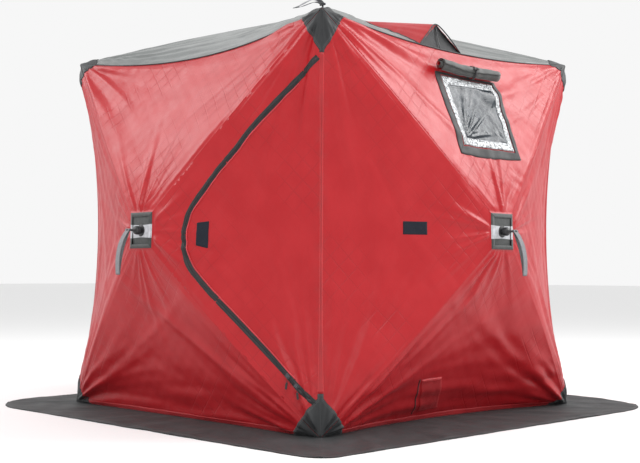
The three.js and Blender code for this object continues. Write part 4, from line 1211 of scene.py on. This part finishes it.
def lathe(name, prof, mat, sides=32, flutes=0, depth=0.):
    """A turned shape from (radius, height) pairs, with optional finger flutes."""
    a = np.linspace(0, 2 * math.pi, sides, endpoint=False)
    prof = np.asarray(prof, float)
    f = 1 - depth * (.5 - .5 * np.cos(a * flutes)) if flutes else np.ones(sides)
    vs, uv = [], []
    for r, z in prof:
        rr = r * (f if r > prof[:, 0].max() * .75 else np.ones(sides))
        vs.append(np.stack([rr * np.cos(a), rr * np.sin(a), np.full(sides, z)], 1))
        uv.append(np.stack([a * .02, np.full(sides, z)], 1))
    P = np.vstack(vs)
    n = len(prof)
    fs = []
    for i in range(n - 1):
        for j in range(sides):
            q = (j + 1) % sides
            fs.append((i * sides + j, i * sides + q, (i + 1) * sides + q, (i + 1) * sides + j))
    fs.append(tuple(range(sides))[::-1])
    fs.append(tuple((n - 1) * sides + j for j in range(sides)))
    return make(name, P, fs, mat, np.vstack(uv))


def boxy(name, size, mat, bevel=.001, at=(0, 0, 0), seg=2):
    """A bevelled block."""
    bm = bmesh.new()
    bmesh.ops.create_cube(bm, size=1)
    bmesh.ops.scale(bm, vec=size, verts=bm.verts)
    bmesh.ops.translate(bm, vec=at, verts=bm.verts)
    bmesh.ops.bevel(bm, geom=bm.edges[:], offset=bevel, segments=seg, affect='EDGES', profile=.6)
    me = bpy.data.meshes.new(name)
    bm.to_mesh(me)
    bm.free()
    lay = me.uv_layers.new(name="cloth")
    for lp in me.loops:
        c = me.vertices[lp.vertex_index].co
        lay.data[lp.index].uv = (c.x + c.z * .3, c.y + c.z * .3)
    me.materials.append(MATS[mat])
    for p in me.polygons:
        p.use_smooth = False
    ob = bpy.data.objects.new(name, me)
    bpy.context.scene.collection.objects.link(ob)
    return ob


def slider_at(xy, nxt, name, tilt):
    x, y = xy
    p = FR.at(np.array([x]), np.array([y]), .0056)[0]
    q = FR.at(np.array([nxt[0]]), np.array([nxt[1]]), .0056)[0]
    n = FR.N(np.array([FR.st(x, y)[0]]), np.array([FR.st(x, y)[1]]))[0]
    t = q - p
    t /= np.linalg.norm(t)
    s = np.cross(n, t)
    parts = [boxy("b", (.0230, .0125, .0034), "dark_metal", .0014), boxy("b", (.0150, .0165, .0030), "dark_metal", .0013, (.0040, 0, .0004)),
             boxy("b", (.0130, .0034, .0044), "dark_metal", .0012, (.0, 0, .0030))]
    ring = tube("r", [(-.004 + .004 * math.cos(a), 0, .0058 + .0032 * math.sin(a)) for a in np.linspace(0, 2 * math.pi, 20)], .0010, "dark_metal", 6, up=(0, 1, 0))
    parts.append(ring)
    ob = join(name, parts)
    place(ob, p, t, s, n)
    # pull tab: hangs down from the ring
    dn = V(0, 0, -1) + n * .12
    dn /= np.linalg.norm(dn)
    root = p + n * .0075 - t * .004
    side = np.cross(dn, n)
    side /= np.linalg.norm(side)
    dn2 = dn * math.cos(tilt) + side * math.sin(tilt)
    sd = np.cross(n, dn2)
    sd /= np.linalg.norm(sd)
    line = [root + dn2 * k + n * (.0012 * math.sin(k * 90)) for k in np.linspace(0, .026, 10)]
    cord = tube(name + "_cord", line, .0012, "piping_dark", 6, up=tuple(n))
    tab = boxy(name + "_pull", (.0290, .0088, .0044), "moulded_black", .0016)
    rib = [boxy("rb", (.0016, .0094, .0052), "moulded_black", .0005, (-.008 + .004 * k, 0, 0)) for k in range(5)]
    tab = join(name + "_pull", [tab] + rib)
    place(tab, root + dn2 * .038 + n * .001, dn2, sd, np.cross(dn2, sd))
    for k in (cord, tab):
        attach(k, "door_zipper_slider")
    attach(ob, "door_zipper_slider")
    return ob


target = V(.755, -.924, .250)
pz = FR.at(door_xy[:, 0], door_xy[:, 1], 0.)
ki = int(np.linalg.norm(pz - target, axis=1).argmin())
s1 = slider_at(door_xy[ki], door_xy[ki - 3], "slider_outer", .10)
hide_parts("door_zipper_slider")
s2 = slider_at(door_xy[ki + 9], door_xy[ki + 6], "slider_second", -.16)

# ------------------------------------------------------------ hook-and-loop patches
def st_rect(Ft, s0, s1, t0, t1):
    return [xy_of(Ft, a, b) for a, b in ((s0, t0), (s1, t0), (s1, t1), (s0, t1))]


def rect_on(Ft, q):
    """Corners on a panel, given as four points and returned as an array."""
    return np.array(q)


vf = quad_patch("loop_patch_door", FR, st_rect(FR, .463, .628, .632, .704), "loop_patch", lift=.0026)
solidify(vf, .0010, -1.)
ride_door(vf)
RL = F['right_left']
cs = [yz(RL, a, b, (.5, .55)) for a, b in ((-.499, .847), (-.391, .847), (-.391, .905), (-.499, .905))]
vr = quad_patch("loop_patch_right", RL, cs, "loop_patch", lift=.0026)
solidify(vr, .0010, -1.)
on_panel(vr, RL)

# ------------------------------------------------------------ window
def ring_sheet(name, outer_r, inner_r, mat, lift_out, lift_in, n=5, per=26, wave=0., thick=.0012):
    a = np.array([yz(RT, *q) for q in loop_pts(outer_r, per)])
    b = np.array([yz(RT, *q) for q in loop_pts(inner_r, per)])
    k = np.linspace(0, 1, n)
    xy = a[:, None] * (1 - k)[None, :, None] + b[:, None] * k[None, :, None]
    m = len(a)
    l = lift_out + (lift_in - lift_out) * k[None, :] + np.zeros((m, 1))
    l[:, 0] -= .0012
    if wave:
        r_ = np.random.default_rng(31)
        l = l + wave * r_.uniform(-1, 1, l.shape) * np.sin(np.pi * k)[None]
    p = RT.at(xy[..., 0], xy[..., 1], l)
    arc_ = np.concatenate([[0], np.cumsum(np.linalg.norm(np.diff(a, axis=0), axis=1))])
    wd = np.linalg.norm(a - b, axis=1).mean()
    uv = np.stack([np.repeat(arc_, n), np.tile(k * wd, m)], 1)
    ob = make(name, p.reshape(-1, 3), grid_faces(m, n, close_n=True), mat, uv)
    face_out(ob, RT.n3)
    solidify(ob, thick, -1.)
    return ob


def loop_pts(r, per):
    c = [(r['y0'], r['z0']), (r['y1'], r['z0']), (r['y1'], r['z1']), (r['y0'], r['z1'])]
    out = []
    for k in range(4):
        a, b = np.array(c[k]), np.array(c[(k + 1) % 4])
        for q in range(per):
            w = a + (b - a) * q / per
            if k == 0 and r is WIN:
                w = w - np.array([0, .010 * math.sin(math.pi * (q / per) ** .8)])
            out.append(w)
    return out


fr = ring_sheet("window_surround", WIN, dict(y0=SIL['y0'] - .006, y1=SIL['y1'] + .006, z0=SIL['z0'] - .006, z1=SIL['z1'] + .004), "black_tape", .0030, .0042, 7, thick=.0020)
on_panel(fr, RT)
sb = ring_sheet("window_foil_band", SIL, dict(y0=PAN['y0'], y1=PAN['y1'], z0=PAN['z0'], z1=PAN['z1']), "silver_band", .0048, .0040, 7, wave=.0020, thick=.0008, per=44)
on_panel(sb, RT)
n1, n2 = 52, 46
py, pz_ = np.meshgrid(np.linspace(PAN['y0'] - .006, PAN['y1'] + .006, n1), np.linspace(PAN['z0'] - .006, PAN['z1'] + .006, n2), indexing='ij')
xy = np.array([yz(RT, a, b) for a, b in zip(py.ravel(), pz_.ravel())])
vy, vz = (py.ravel() - PAN['y0']), (pz_.ravel() - PAN['z0'])
cre = fan(vy, vz, 4011, 17, .18, 1.35, .16, .0060, .0040) + fan(PAN['y1'] - py.ravel(), vz, 4013, 8, .15, 1.2, .10, .0018, .0045) + .0012 * vnoise(vy / .05, vz / .07, 4015)
rimd = np.minimum(np.minimum(vy + .006, PAN['y1'] + .006 - py.ravel()), np.minimum(vz + .006, PAN['z1'] + .006 - pz_.ravel()))
p = RT.at(xy[:, 0], xy[:, 1], .0022 + cre * smooth(rimd / .012))
pane = make("window_vinyl", p, grid_faces(n1, n2), "clear_vinyl", np.stack([py.ravel(), pz_.ravel()], 1))
face_out(pane, RT.n3)
solidify(pane, .0006, -1.)
on_panel(pane, RT)
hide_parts("window_pane")

# rolled cover: a spiral of quilted cloth, red inside, with its ends open
ry0, ry1 = -.192, .246
rn = 46
mid = []
for q in np.linspace(ry0, ry1, rn):
    x, y = yz(RT, q, WIN['z1'] + .014)
    mid.append(RT.at(np.array([x]), np.array([y]), .0325)[0])
mid = np.array(mid)
mid[:, 2] += .0015 * np.sin(np.linspace(0, 9, rn)) - .0035 * np.sin(np.linspace(0, math.pi, rn))
t_, s_, n_ = frames(mid, tuple(RT.n3))
th = np.linspace(0, 2 * math.pi * 3.35, 150)
rad_ = .0062 + (.0285 - .0062) * (th / th[-1])
rows_ = []
for i in range(rn):
    k = i / (rn - 1)
    wob_ = 1 + .035 * np.sin(th * 3 + 1.7 + k * 6) + .02 * np.sin(k * 30 + th)
    e = -.60 + .12 * math.sin(k * 4)
    rr = rad_ * wob_
    sag = .0016 * math.sin(k * 14) + .001 * math.sin(k * 41 + 1)
    shift = t_[i] * ((.010 * np.cos(th * .31 + 1)) * (1 if i == 0 else (1 if i == rn - 1 else 0)) * 1)[:, None]
    rows_.append(mid[i] + s_[i] * (rr * np.cos(th + e))[:, None] + n_[i] * (rr * np.sin(th + e) * .96 + sag)[:, None] + shift)
P = np.stack(rows_, 0)
al = np.concatenate([[0], np.cumsum(rad_[1:] * np.diff(th))])
uv = np.stack([np.repeat(np.linspace(ry0, ry1, rn), len(th)), np.tile(al, rn)], 1)
roll = make("window_cover_rolled", P.reshape(-1, 3), grid_faces(rn, len(th)), ["heather_cloth", "red_oxford"], uv)
# outside of the spiral looks away from its middle
cv = P[rn // 2, -20] - mid[rn // 2]
pn = np.zeros(len(roll.data.polygons) * 3)
roll.data.polygons.foreach_get("normal", pn)
pn = pn.reshape(rn - 1, len(th) - 1, 3)
if pn[rn // 2, -20] @ cv < 0:
    roll.data.flip_normals()
solidify(roll, .0030, -1., 1)
on_panel(roll, RT)
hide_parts("window_cover_roll")


def roll_band(name, q, wd, mat, rr=.0305):
    """A strap round the roll."""
    k = (q - ry0) / (ry1 - ry0) * (rn - 1)
    i = int(k)
    c = mid[i] + (mid[min(i + 1, rn - 1)] - mid[i]) * (k - i)
    a = np.linspace(0, 2 * math.pi, 40, endpoint=False)
    vs, uv = [], []
    for o_, dl in ((-1, 0), (-.8, .0010), (0, .0013), (.8, .0010), (1, 0)):
        vs.append(c + t_[i] * o_ * wd / 2 + s_[i] * ((rr + dl) * np.cos(a))[:, None] + n_[i] * ((rr + dl) * .97 * np.sin(a))[:, None])
        uv.append(np.stack([np.full(40, (o_ + 1) * wd / 2), a * rr], 1))
    ob = make(name, np.stack(vs, 1).reshape(-1, 3), grid_faces(40, 5, close_n=True), mat, np.stack(uv, 1).reshape(-1, 2))
    pn = np.array(ob.data.polygons[0].normal)
    if pn @ (np.array(ob.data.polygons[0].center) - c) < 0:
        ob.data.flip_normals()
    solidify(ob, .0012, 0.)
    return on_panel(ob, RT)


roll_band("roll_tie_band", .060, .013, "black_tape", .0310)
k = int((.060 - ry0) / (ry1 - ry0) * (rn - 1))
c = mid[k] + RT.n3 * .029 + V(0, 0, 1) * .012
tog = lathe("roll_toggle", [(.0005, -.020), (.0035, -.0195), (.0052, -.017), (.0052, -.004), (.0036, -.002), (.0036, .002), (.0052, .004), (.0052, .017), (.0035, .0195), (.0005, .020)], "moulded_black", 20)
place(tog, c + RT.n3 * .0065, V(0, 0, 1), RT.n3, V(0, 1, .10) / np.linalg.norm(V(0, 1, .10)))
on_panel(tog, RT)
la = np.linspace(0, 2 * math.pi, 26)
lp = [c + RT.n3 * (.0068 + .0062 * math.cos(a)) + V(0, 1, 0) * .0 + V(0, 0, 1) * (.0066 * math.sin(a)) for a in la]
el = tube("roll_elastic_loop", lp, .0013, "piping_dark", 6, up=(0, 1, 0))
on_panel(el, RT)

# ------------------------------------------------------------ cable port flap, low on the right wall
RB = F['right_bottom']


def on_wall(Ft, px_y, px_z, g=(.5, .3)):
    return yz(Ft, px_y, px_z, g)


pc4 = [on_wall(RB, -.209, .0525, (.62, .06)), on_wall(RB, -.058, .0560, (.53, .06)), on_wall(RB, -.135, .212, (.6, .26)), on_wall(RB, -.290, .210, (.7, .26))]
flap = quad_patch("cable_port_flap", RB, pc4, "red_tape", n=22, m=26, lift=.0048, hem=.0055)
solidify(flap, .0018, -1.)
on_panel(flap, RB)
slit = [on_wall(RB, -.304, .2130, (.72, .26)), on_wall(RB, -.238, .040, (.64, .04))]
sl = catmull(np.array([slit[0], (np.array(slit[0]) + np.array(slit[1])) / 2 + np.array([.002, 0]), slit[1]]), 40)
# the slit is drawn as a black strip laid on the cloth: painted shade of the opening
so = ribbon("cable_port_slit", RB, sl, [-.0035, -.003, 0, .003, .0035], [.0004, .0016, .0020, .0016, .0004], "lining_black")
solidify(so, .0008, -1.)
on_panel(so, RB)

# ------------------------------------------------------------ roof vent hood
RR = F['roof_right']


def roof_pt(x, y, lift=0.):
    q = RR.find(lambda p: (p[0] - x, p[1] - y), (.5, .2))
    return RR.at(np.array([q[0]]), np.array([q[1]]), lift)[0]


hb0, hbm, hb1 = roof_pt(.850, -.217, .001), roof_pt(.846, -.065, .001), roof_pt(.850, .086, .001)
tail = roof_pt(.345, -.062, .0015)
apex = V(.822, -.065, 1.853)


def hood_side(a, b, sgn, n=26, m=20):
    """A cloth side of the hood: from the tail forwards to the opening's edge between apex and base corner."""
    vs, uv = [], []
    for i in range(n):
        k = (i / (n - 1)) ** .92
        top = tail * (1 - k) + apex * k
        low = tail * (1 - k) + a * k
        rp = roof_pt(float(low[0]), float(low[1]), .0012)
        for j in range(m):
            q = j / (m - 1)
            p = top * (1 - q) + rp * q
            bul = math.sin(math.pi * q) * math.sin(math.pi * min(k, .999)) * .014 * k
            p = p + V(0, sgn * .55, .8) * bul + V(0, 0, 1) * .0016 * math.sin(q * 19 + k * 7) * math.sin(math.pi * q) * k
            vs.append(p)
            uv.append((k * .52, q * .17 * k + .02))
    return make("hs", vs, grid_faces(n, m), ["red_oxford", "lining_black"], uv)


h1, h2 = hood_side(hb0, None, -1), hood_side(hb1, None, 1)
face_out(h1, (0, -1, .6))
face_out(h2, (0, 1, .6))
hood = join("vent_hood", [h1, h2])
bm = bmesh.new()
bm.from_mesh(hood.data)
bmesh.ops.remove_doubles(bm, verts=bm.verts, dist=.0003)
bm.to_mesh(hood.data)
bm.free()
solidify(hood, .0014, -1., 1)
on_panel(hood, RR)
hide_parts("roof_vent_hood")
n, m = 18, 18
vs, uv = [], []
for i in range(n):
    k = i / (n - 1)
    base = (hb0 * (1 - 2 * k) + hbm * 2 * k) if k < .5 else (hbm * (2 - 2 * k) + hb1 * (2 * k - 1))
    for j in range(m):
        q = j / (m - 1)
        p = base * (1 - q) + apex * q
        p = p - V(1, 0, 0) * .006 * math.sin(math.pi * q) - V(.004, 0, 0)
        vs.append(p)
        uv.append((k * .3 * (1 - q), q * .12))
net = make("vent_net", vs, grid_faces(n, m), "vent_mesh", uv)
face_out(net, (1, 0, .2))
solidify(net, .0006, -1.)
on_panel(net, RR)


def poly(*pts):
    return catmull(np.array(pts), 40)


for nm, pts, r in (("vent_piping_left", (tail, (tail + hb0) / 2 + V(0, -.004, .001), hb0), .0028), ("vent_piping_right", (tail, (tail + hb1) / 2 + V(0, .004, .001), hb1), .0028),
                   ("vent_piping_opening", (hb0, hb0 * .45 + apex * .55 + V(.004, -.006, .004), apex, hb1 * .45 + apex * .55 + V(.004, .006, .004), hb1), .0030),
                   ("vent_piping_base", (hb0, hbm, hb1), .0026)):
    ln = poly(*pts)
    if nm in ("vent_piping_left", "vent_piping_right", "vent_piping_base"):
        for i in range(len(ln)):
            z = roof_pt(float(ln[i][0]), float(ln[i][1]), .0022)[2]
            ln[i][2] = z
    t = tube(nm, ln, r, "piping_dark", 8, up=(0, 0, 1) if nm != "vent_piping_opening" else (1, 0, 0))
    on_panel(t, RR)
st_ = poly(hbm + V(.001, 0, .002), hbm * .5 + apex * .5 + V(-.004, 0, 0), apex - V(.003, 0, .003))
stf = tube("vent_stiffener", st_, .0022, "fibreglass_rod", 8, up=(1, 0, 0))
on_panel(stf, RR)

# ------------------------------------------------------------ hubs: moulded block, knob, rod, cross bar
def hub(wall):
    t, u, n, o = WALLS[wall]
    c0 = o + n * OUT
    parts = [lathe("core", [(.001, -.0500), (.024, -.0500), (.030, -.0470), (.032, -.0430), (.032, -.0180), (.050, -.0172), (.053, -.0155), (.053, -.0132), (.0515, -.0120), (.001, -.0120)], "moulded_black", 48)]
    top = HALF if wall == 'roof' else EAVE - HUBZ
    bot = -HALF if wall == 'roof' else BASE - HUBZ
    for sa in (-1, 1):
        for tb in (top, bot):
            an = math.atan2(tb, sa * HALF)
            for sd in (-1, 1):
                ck = boxy("cheek", (.034, .0060, .0300), "moulded_black", .0022, (.0350, sd * .0100, -.0310))
                ck.data.transform(Matrix.Rotation(an, 4, 'Z'))
                parts.append(ck)
            pin = lathe("pin", [(.0005, -.0150), (.0042, -.0150), (.0046, -.0143), (.0046, -.0134), (.0030, -.0131), (.0030, .0131), (.0046, .0134), (.0046, .0143), (.0042, .0150), (.0005, .0150)], "dark_metal", 14)
            pin.data.transform(Matrix.Rotation(math.pi / 2, 4, 'X'))
            pin.data.transform(Matrix.Translation((.040, 0, -.030)))
            pin.data.transform(Matrix.Rotation(an, 4, 'Z'))
            parts.append(pin)
    core = join(f"{wall}_hub_block", parts)
    place(core, c0, t, u, n)
    knob = lathe("knob", [(.001, .0016), (.0150, .0016), (.0158, .0050), (.0165, .0110), (.0185, .0145), (.0195, .0190), (.0195, .0300), (.0182, .0345), (.0150, .0372), (.0090, .0385), (.0075, .0400), (.0062, .0410), (.0052, .0420), (.0050, .0780), (.0040, .0800), (.001, .0802)], "moulded_black", 48, 12, .07)
    wash = lathe("w", [(.001, .0012), (.0260, .0012), (.0270, .0020), (.0270, .0030), (.0255, .0040), (.001, .0040)], "moulded_black", 36)
    bar = lathe("bar", [(.0005, -.0205), (.0036, -.0203), (.0052, -.0192), (.0052, -.0165), (.0040, -.0150), (.0040, .0150), (.0052, .0165), (.0052, .0192), (.0036, .0203), (.0005, .0205)], "dark_metal", 18)
    bar.data.transform(Matrix.Rotation(math.pi / 2, 4, 'Y'))
    bar.data.transform(Matrix.Translation((0, 0, .072)))
    kn = join(f"{wall}_hub_knob", [knob, wash, bar])
    place(kn, c0, t, u, n)
    # the middle of the sewn patch; its rim is part of the four panels
    m = 13
    g = np.linspace(-INN, INN, m)
    A, B = np.meshgrid(g, g, indexing='ij')
    p = c0 + t * A[..., None] + u * B[..., None] + n * (.0017 + .0006 * smooth((1 - np.maximum(abs(A), abs(B)) / INN) * 3))[..., None]
    pa = make(f"{wall}_hub_patch", p.reshape(-1, 3), grid_faces(m, m), "hub_patch", np.stack([A.ravel(), B.ravel()], 1))
    face_out(pa, n)
    solidify(pa, .0026, -1., 0, False)
    for x in (core, kn, pa):
        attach(x, wall + "_hub")
    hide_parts(wall + "_hub")
    return c0


def strap(wall):
    t, u, n, o = WALLS[wall]
    if wall == 'roof':
        prof = [(.072, 0), (.0785, .010), (.081, .026), (.078, .062), (.058, .110), (.034, .160), (.020, .203)]
    else:
        prof = [(.072, 0), (.080, .014), (.088, .030), (.103, .066), (.115, .110), (.122, .155), (.125, .200)]
    dn = -u
    c0 = o + n * OUT
    mid_ = catmull(np.array(prof), 60)
    g = np.gradient(mid_, axis=0)
    g /= np.linalg.norm(g, axis=1, keepdims=True)
    nrm = np.stack([g[:, 1], -g[:, 0]], 1)
    k = np.linspace(0, 1, 60)
    gap_out = .0120 * np.sin(math.pi * np.clip(k, 0, 1)) ** .7 * (1 - k) ** .35 + .0009
    gap_in = .0050 * np.sin(math.pi * np.clip(k, 0, 1)) ** .7 * (1 - k) ** .5 + .0009
    start = 6
    outer_s = mid_ + nrm * gap_out[:, None]
    inner_s = mid_ - nrm * gap_in[:, None]
    # round the bar
    a0 = math.atan2(inner_s[start][1], inner_s[start][0] - .072)
    a1 = math.atan2(outer_s[start][1], outer_s[start][0] - .072)
    if a1 > a0:
        a1 -= 2 * math.pi
    aa = np.linspace(a0, a0 - (2 * math.pi - (a1 - a0) % (2 * math.pi)) % (2 * math.pi), 18)
    # go the far way, over the bar's top
    span = (a0 - a1) % (2 * math.pi)
    if span < math.pi:
        aa = np.linspace(a0, a0 + (2 * math.pi - span), 18)
    else:
        aa = np.linspace(a0, a0 - span, 18)
    rb = .0058
    wrap = np.stack([.072 + rb * np.cos(aa), rb * np.sin(aa)], 1)
    line = np.vstack([inner_s[::-1][:-start], wrap, outer_s[start:]])
    line = catmull(line[::2], 130)
    d = np.concatenate([[0], np.cumsum(np.linalg.norm(np.diff(line, axis=0), axis=1))])
    w = .0150
    cols = []
    offs = (-1, -.92, -.45, 0, .45, .92, 1)
    twist = np.linspace(0, 1, len(line))
    for q in offs:
        crown = .0004 * (1 - q * q)
        P = c0 + n * line[:, 0][:, None] + dn * line[:, 1][:, None] + t * (q * w)
        cols.append(P)
    P = np.stack(cols, 1)
    uv = np.stack([np.tile([(q + 1) * w for q in offs], len(line)), np.repeat(d, len(offs))], 1)
    fs = grid_faces(len(line), len(offs))
    half = len(fs) // 2
    ob = make(f"{wall}_strap_loop", P.reshape(-1, 3), fs, ["webbing_grey", "webbing_silver"], uv, np.where(np.arange(len(fs)) > half, 1, 0))
    solidify(ob, .0017, 0.)
    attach(ob, wall + "_pull_strap")
    # box stitch at the loose end
    e = c0 + n * mid_[-6][0] + dn * mid_[-6][1]
    tt = n * g[-6][0] + dn * g[-6][1]
    nn = n * nrm[-6][0] + dn * nrm[-6][1]
    st = boxy(f"{wall}_strap_tack", (.0215, .0130, .0052), "black_tape", .0010)
    place(st, e, t, tt, nn)
    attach(st, wall + "_pull_strap")
    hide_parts(wall + "_pull_strap")
    return d[-1]


for wall in WALLS:
    hub(wall)
    strap(wall)

# ------------------------------------------------------------ poles keep their CAD shape
for name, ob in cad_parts.items():
    if '_pole_' in name:
        ob.data.materials.clear()
        ob.data.materials.append(MATS["fibreglass_rod"])


# ------------------------------------------------------------ floor and light
def stage():
    me = bpy.data.meshes.new("floor")
    k = 60.
    me.from_pydata([(-k, -k, -.0006), (k, -k, -.0006), (k, k, -.0006), (-k, k, -.0006)], [], [(0, 1, 2, 3)])
    me.materials.append(MATS["white_floor"])
    fl = bpy.data.objects.new("floor", me)
    bpy.context.scene.collection.objects.link(fl)
    w = bpy.data.worlds.new("studio")
    bpy.context.scene.world = w
    w.use_nodes = True
    bg = w.node_tree.nodes["Background"]
    bg.inputs[0].default_value = (1, 1, 1, 1)
    bg.inputs[1].default_value = .93

    def area(name, loc, aim, size, power, col=(1, 1, 1)):
        d = bpy.data.lights.new(name, 'AREA')
        d.shape, d.size, d.size_y, d.energy, d.color = 'RECTANGLE', size[0], size[1], power, col
        ob = bpy.data.objects.new(name, d)
        bpy.context.scene.collection.objects.link(ob)
        ob.location = loc
        ob.rotation_euler = (Vector(aim) - Vector(loc)).to_track_quat('-Z', 'Y').to_euler()
        return ob

    area("right_back", (3.4, 4.6, 4.8), (.5, .1, .9), (3.4, 3.4), 310)
    area("left_back", (-4.9, -3.2, 4.6), (-.1, -.5, .9), (3.4, 3.4), 165)
    area("front", (4.0, -3.4, 5.4), (.3, -.3, .9), (2., 2.), 120)
    bpy.context.scene.view_settings.view_transform = 'Standard'
    bpy.context.scene.view_settings.look = 'None'


stage()
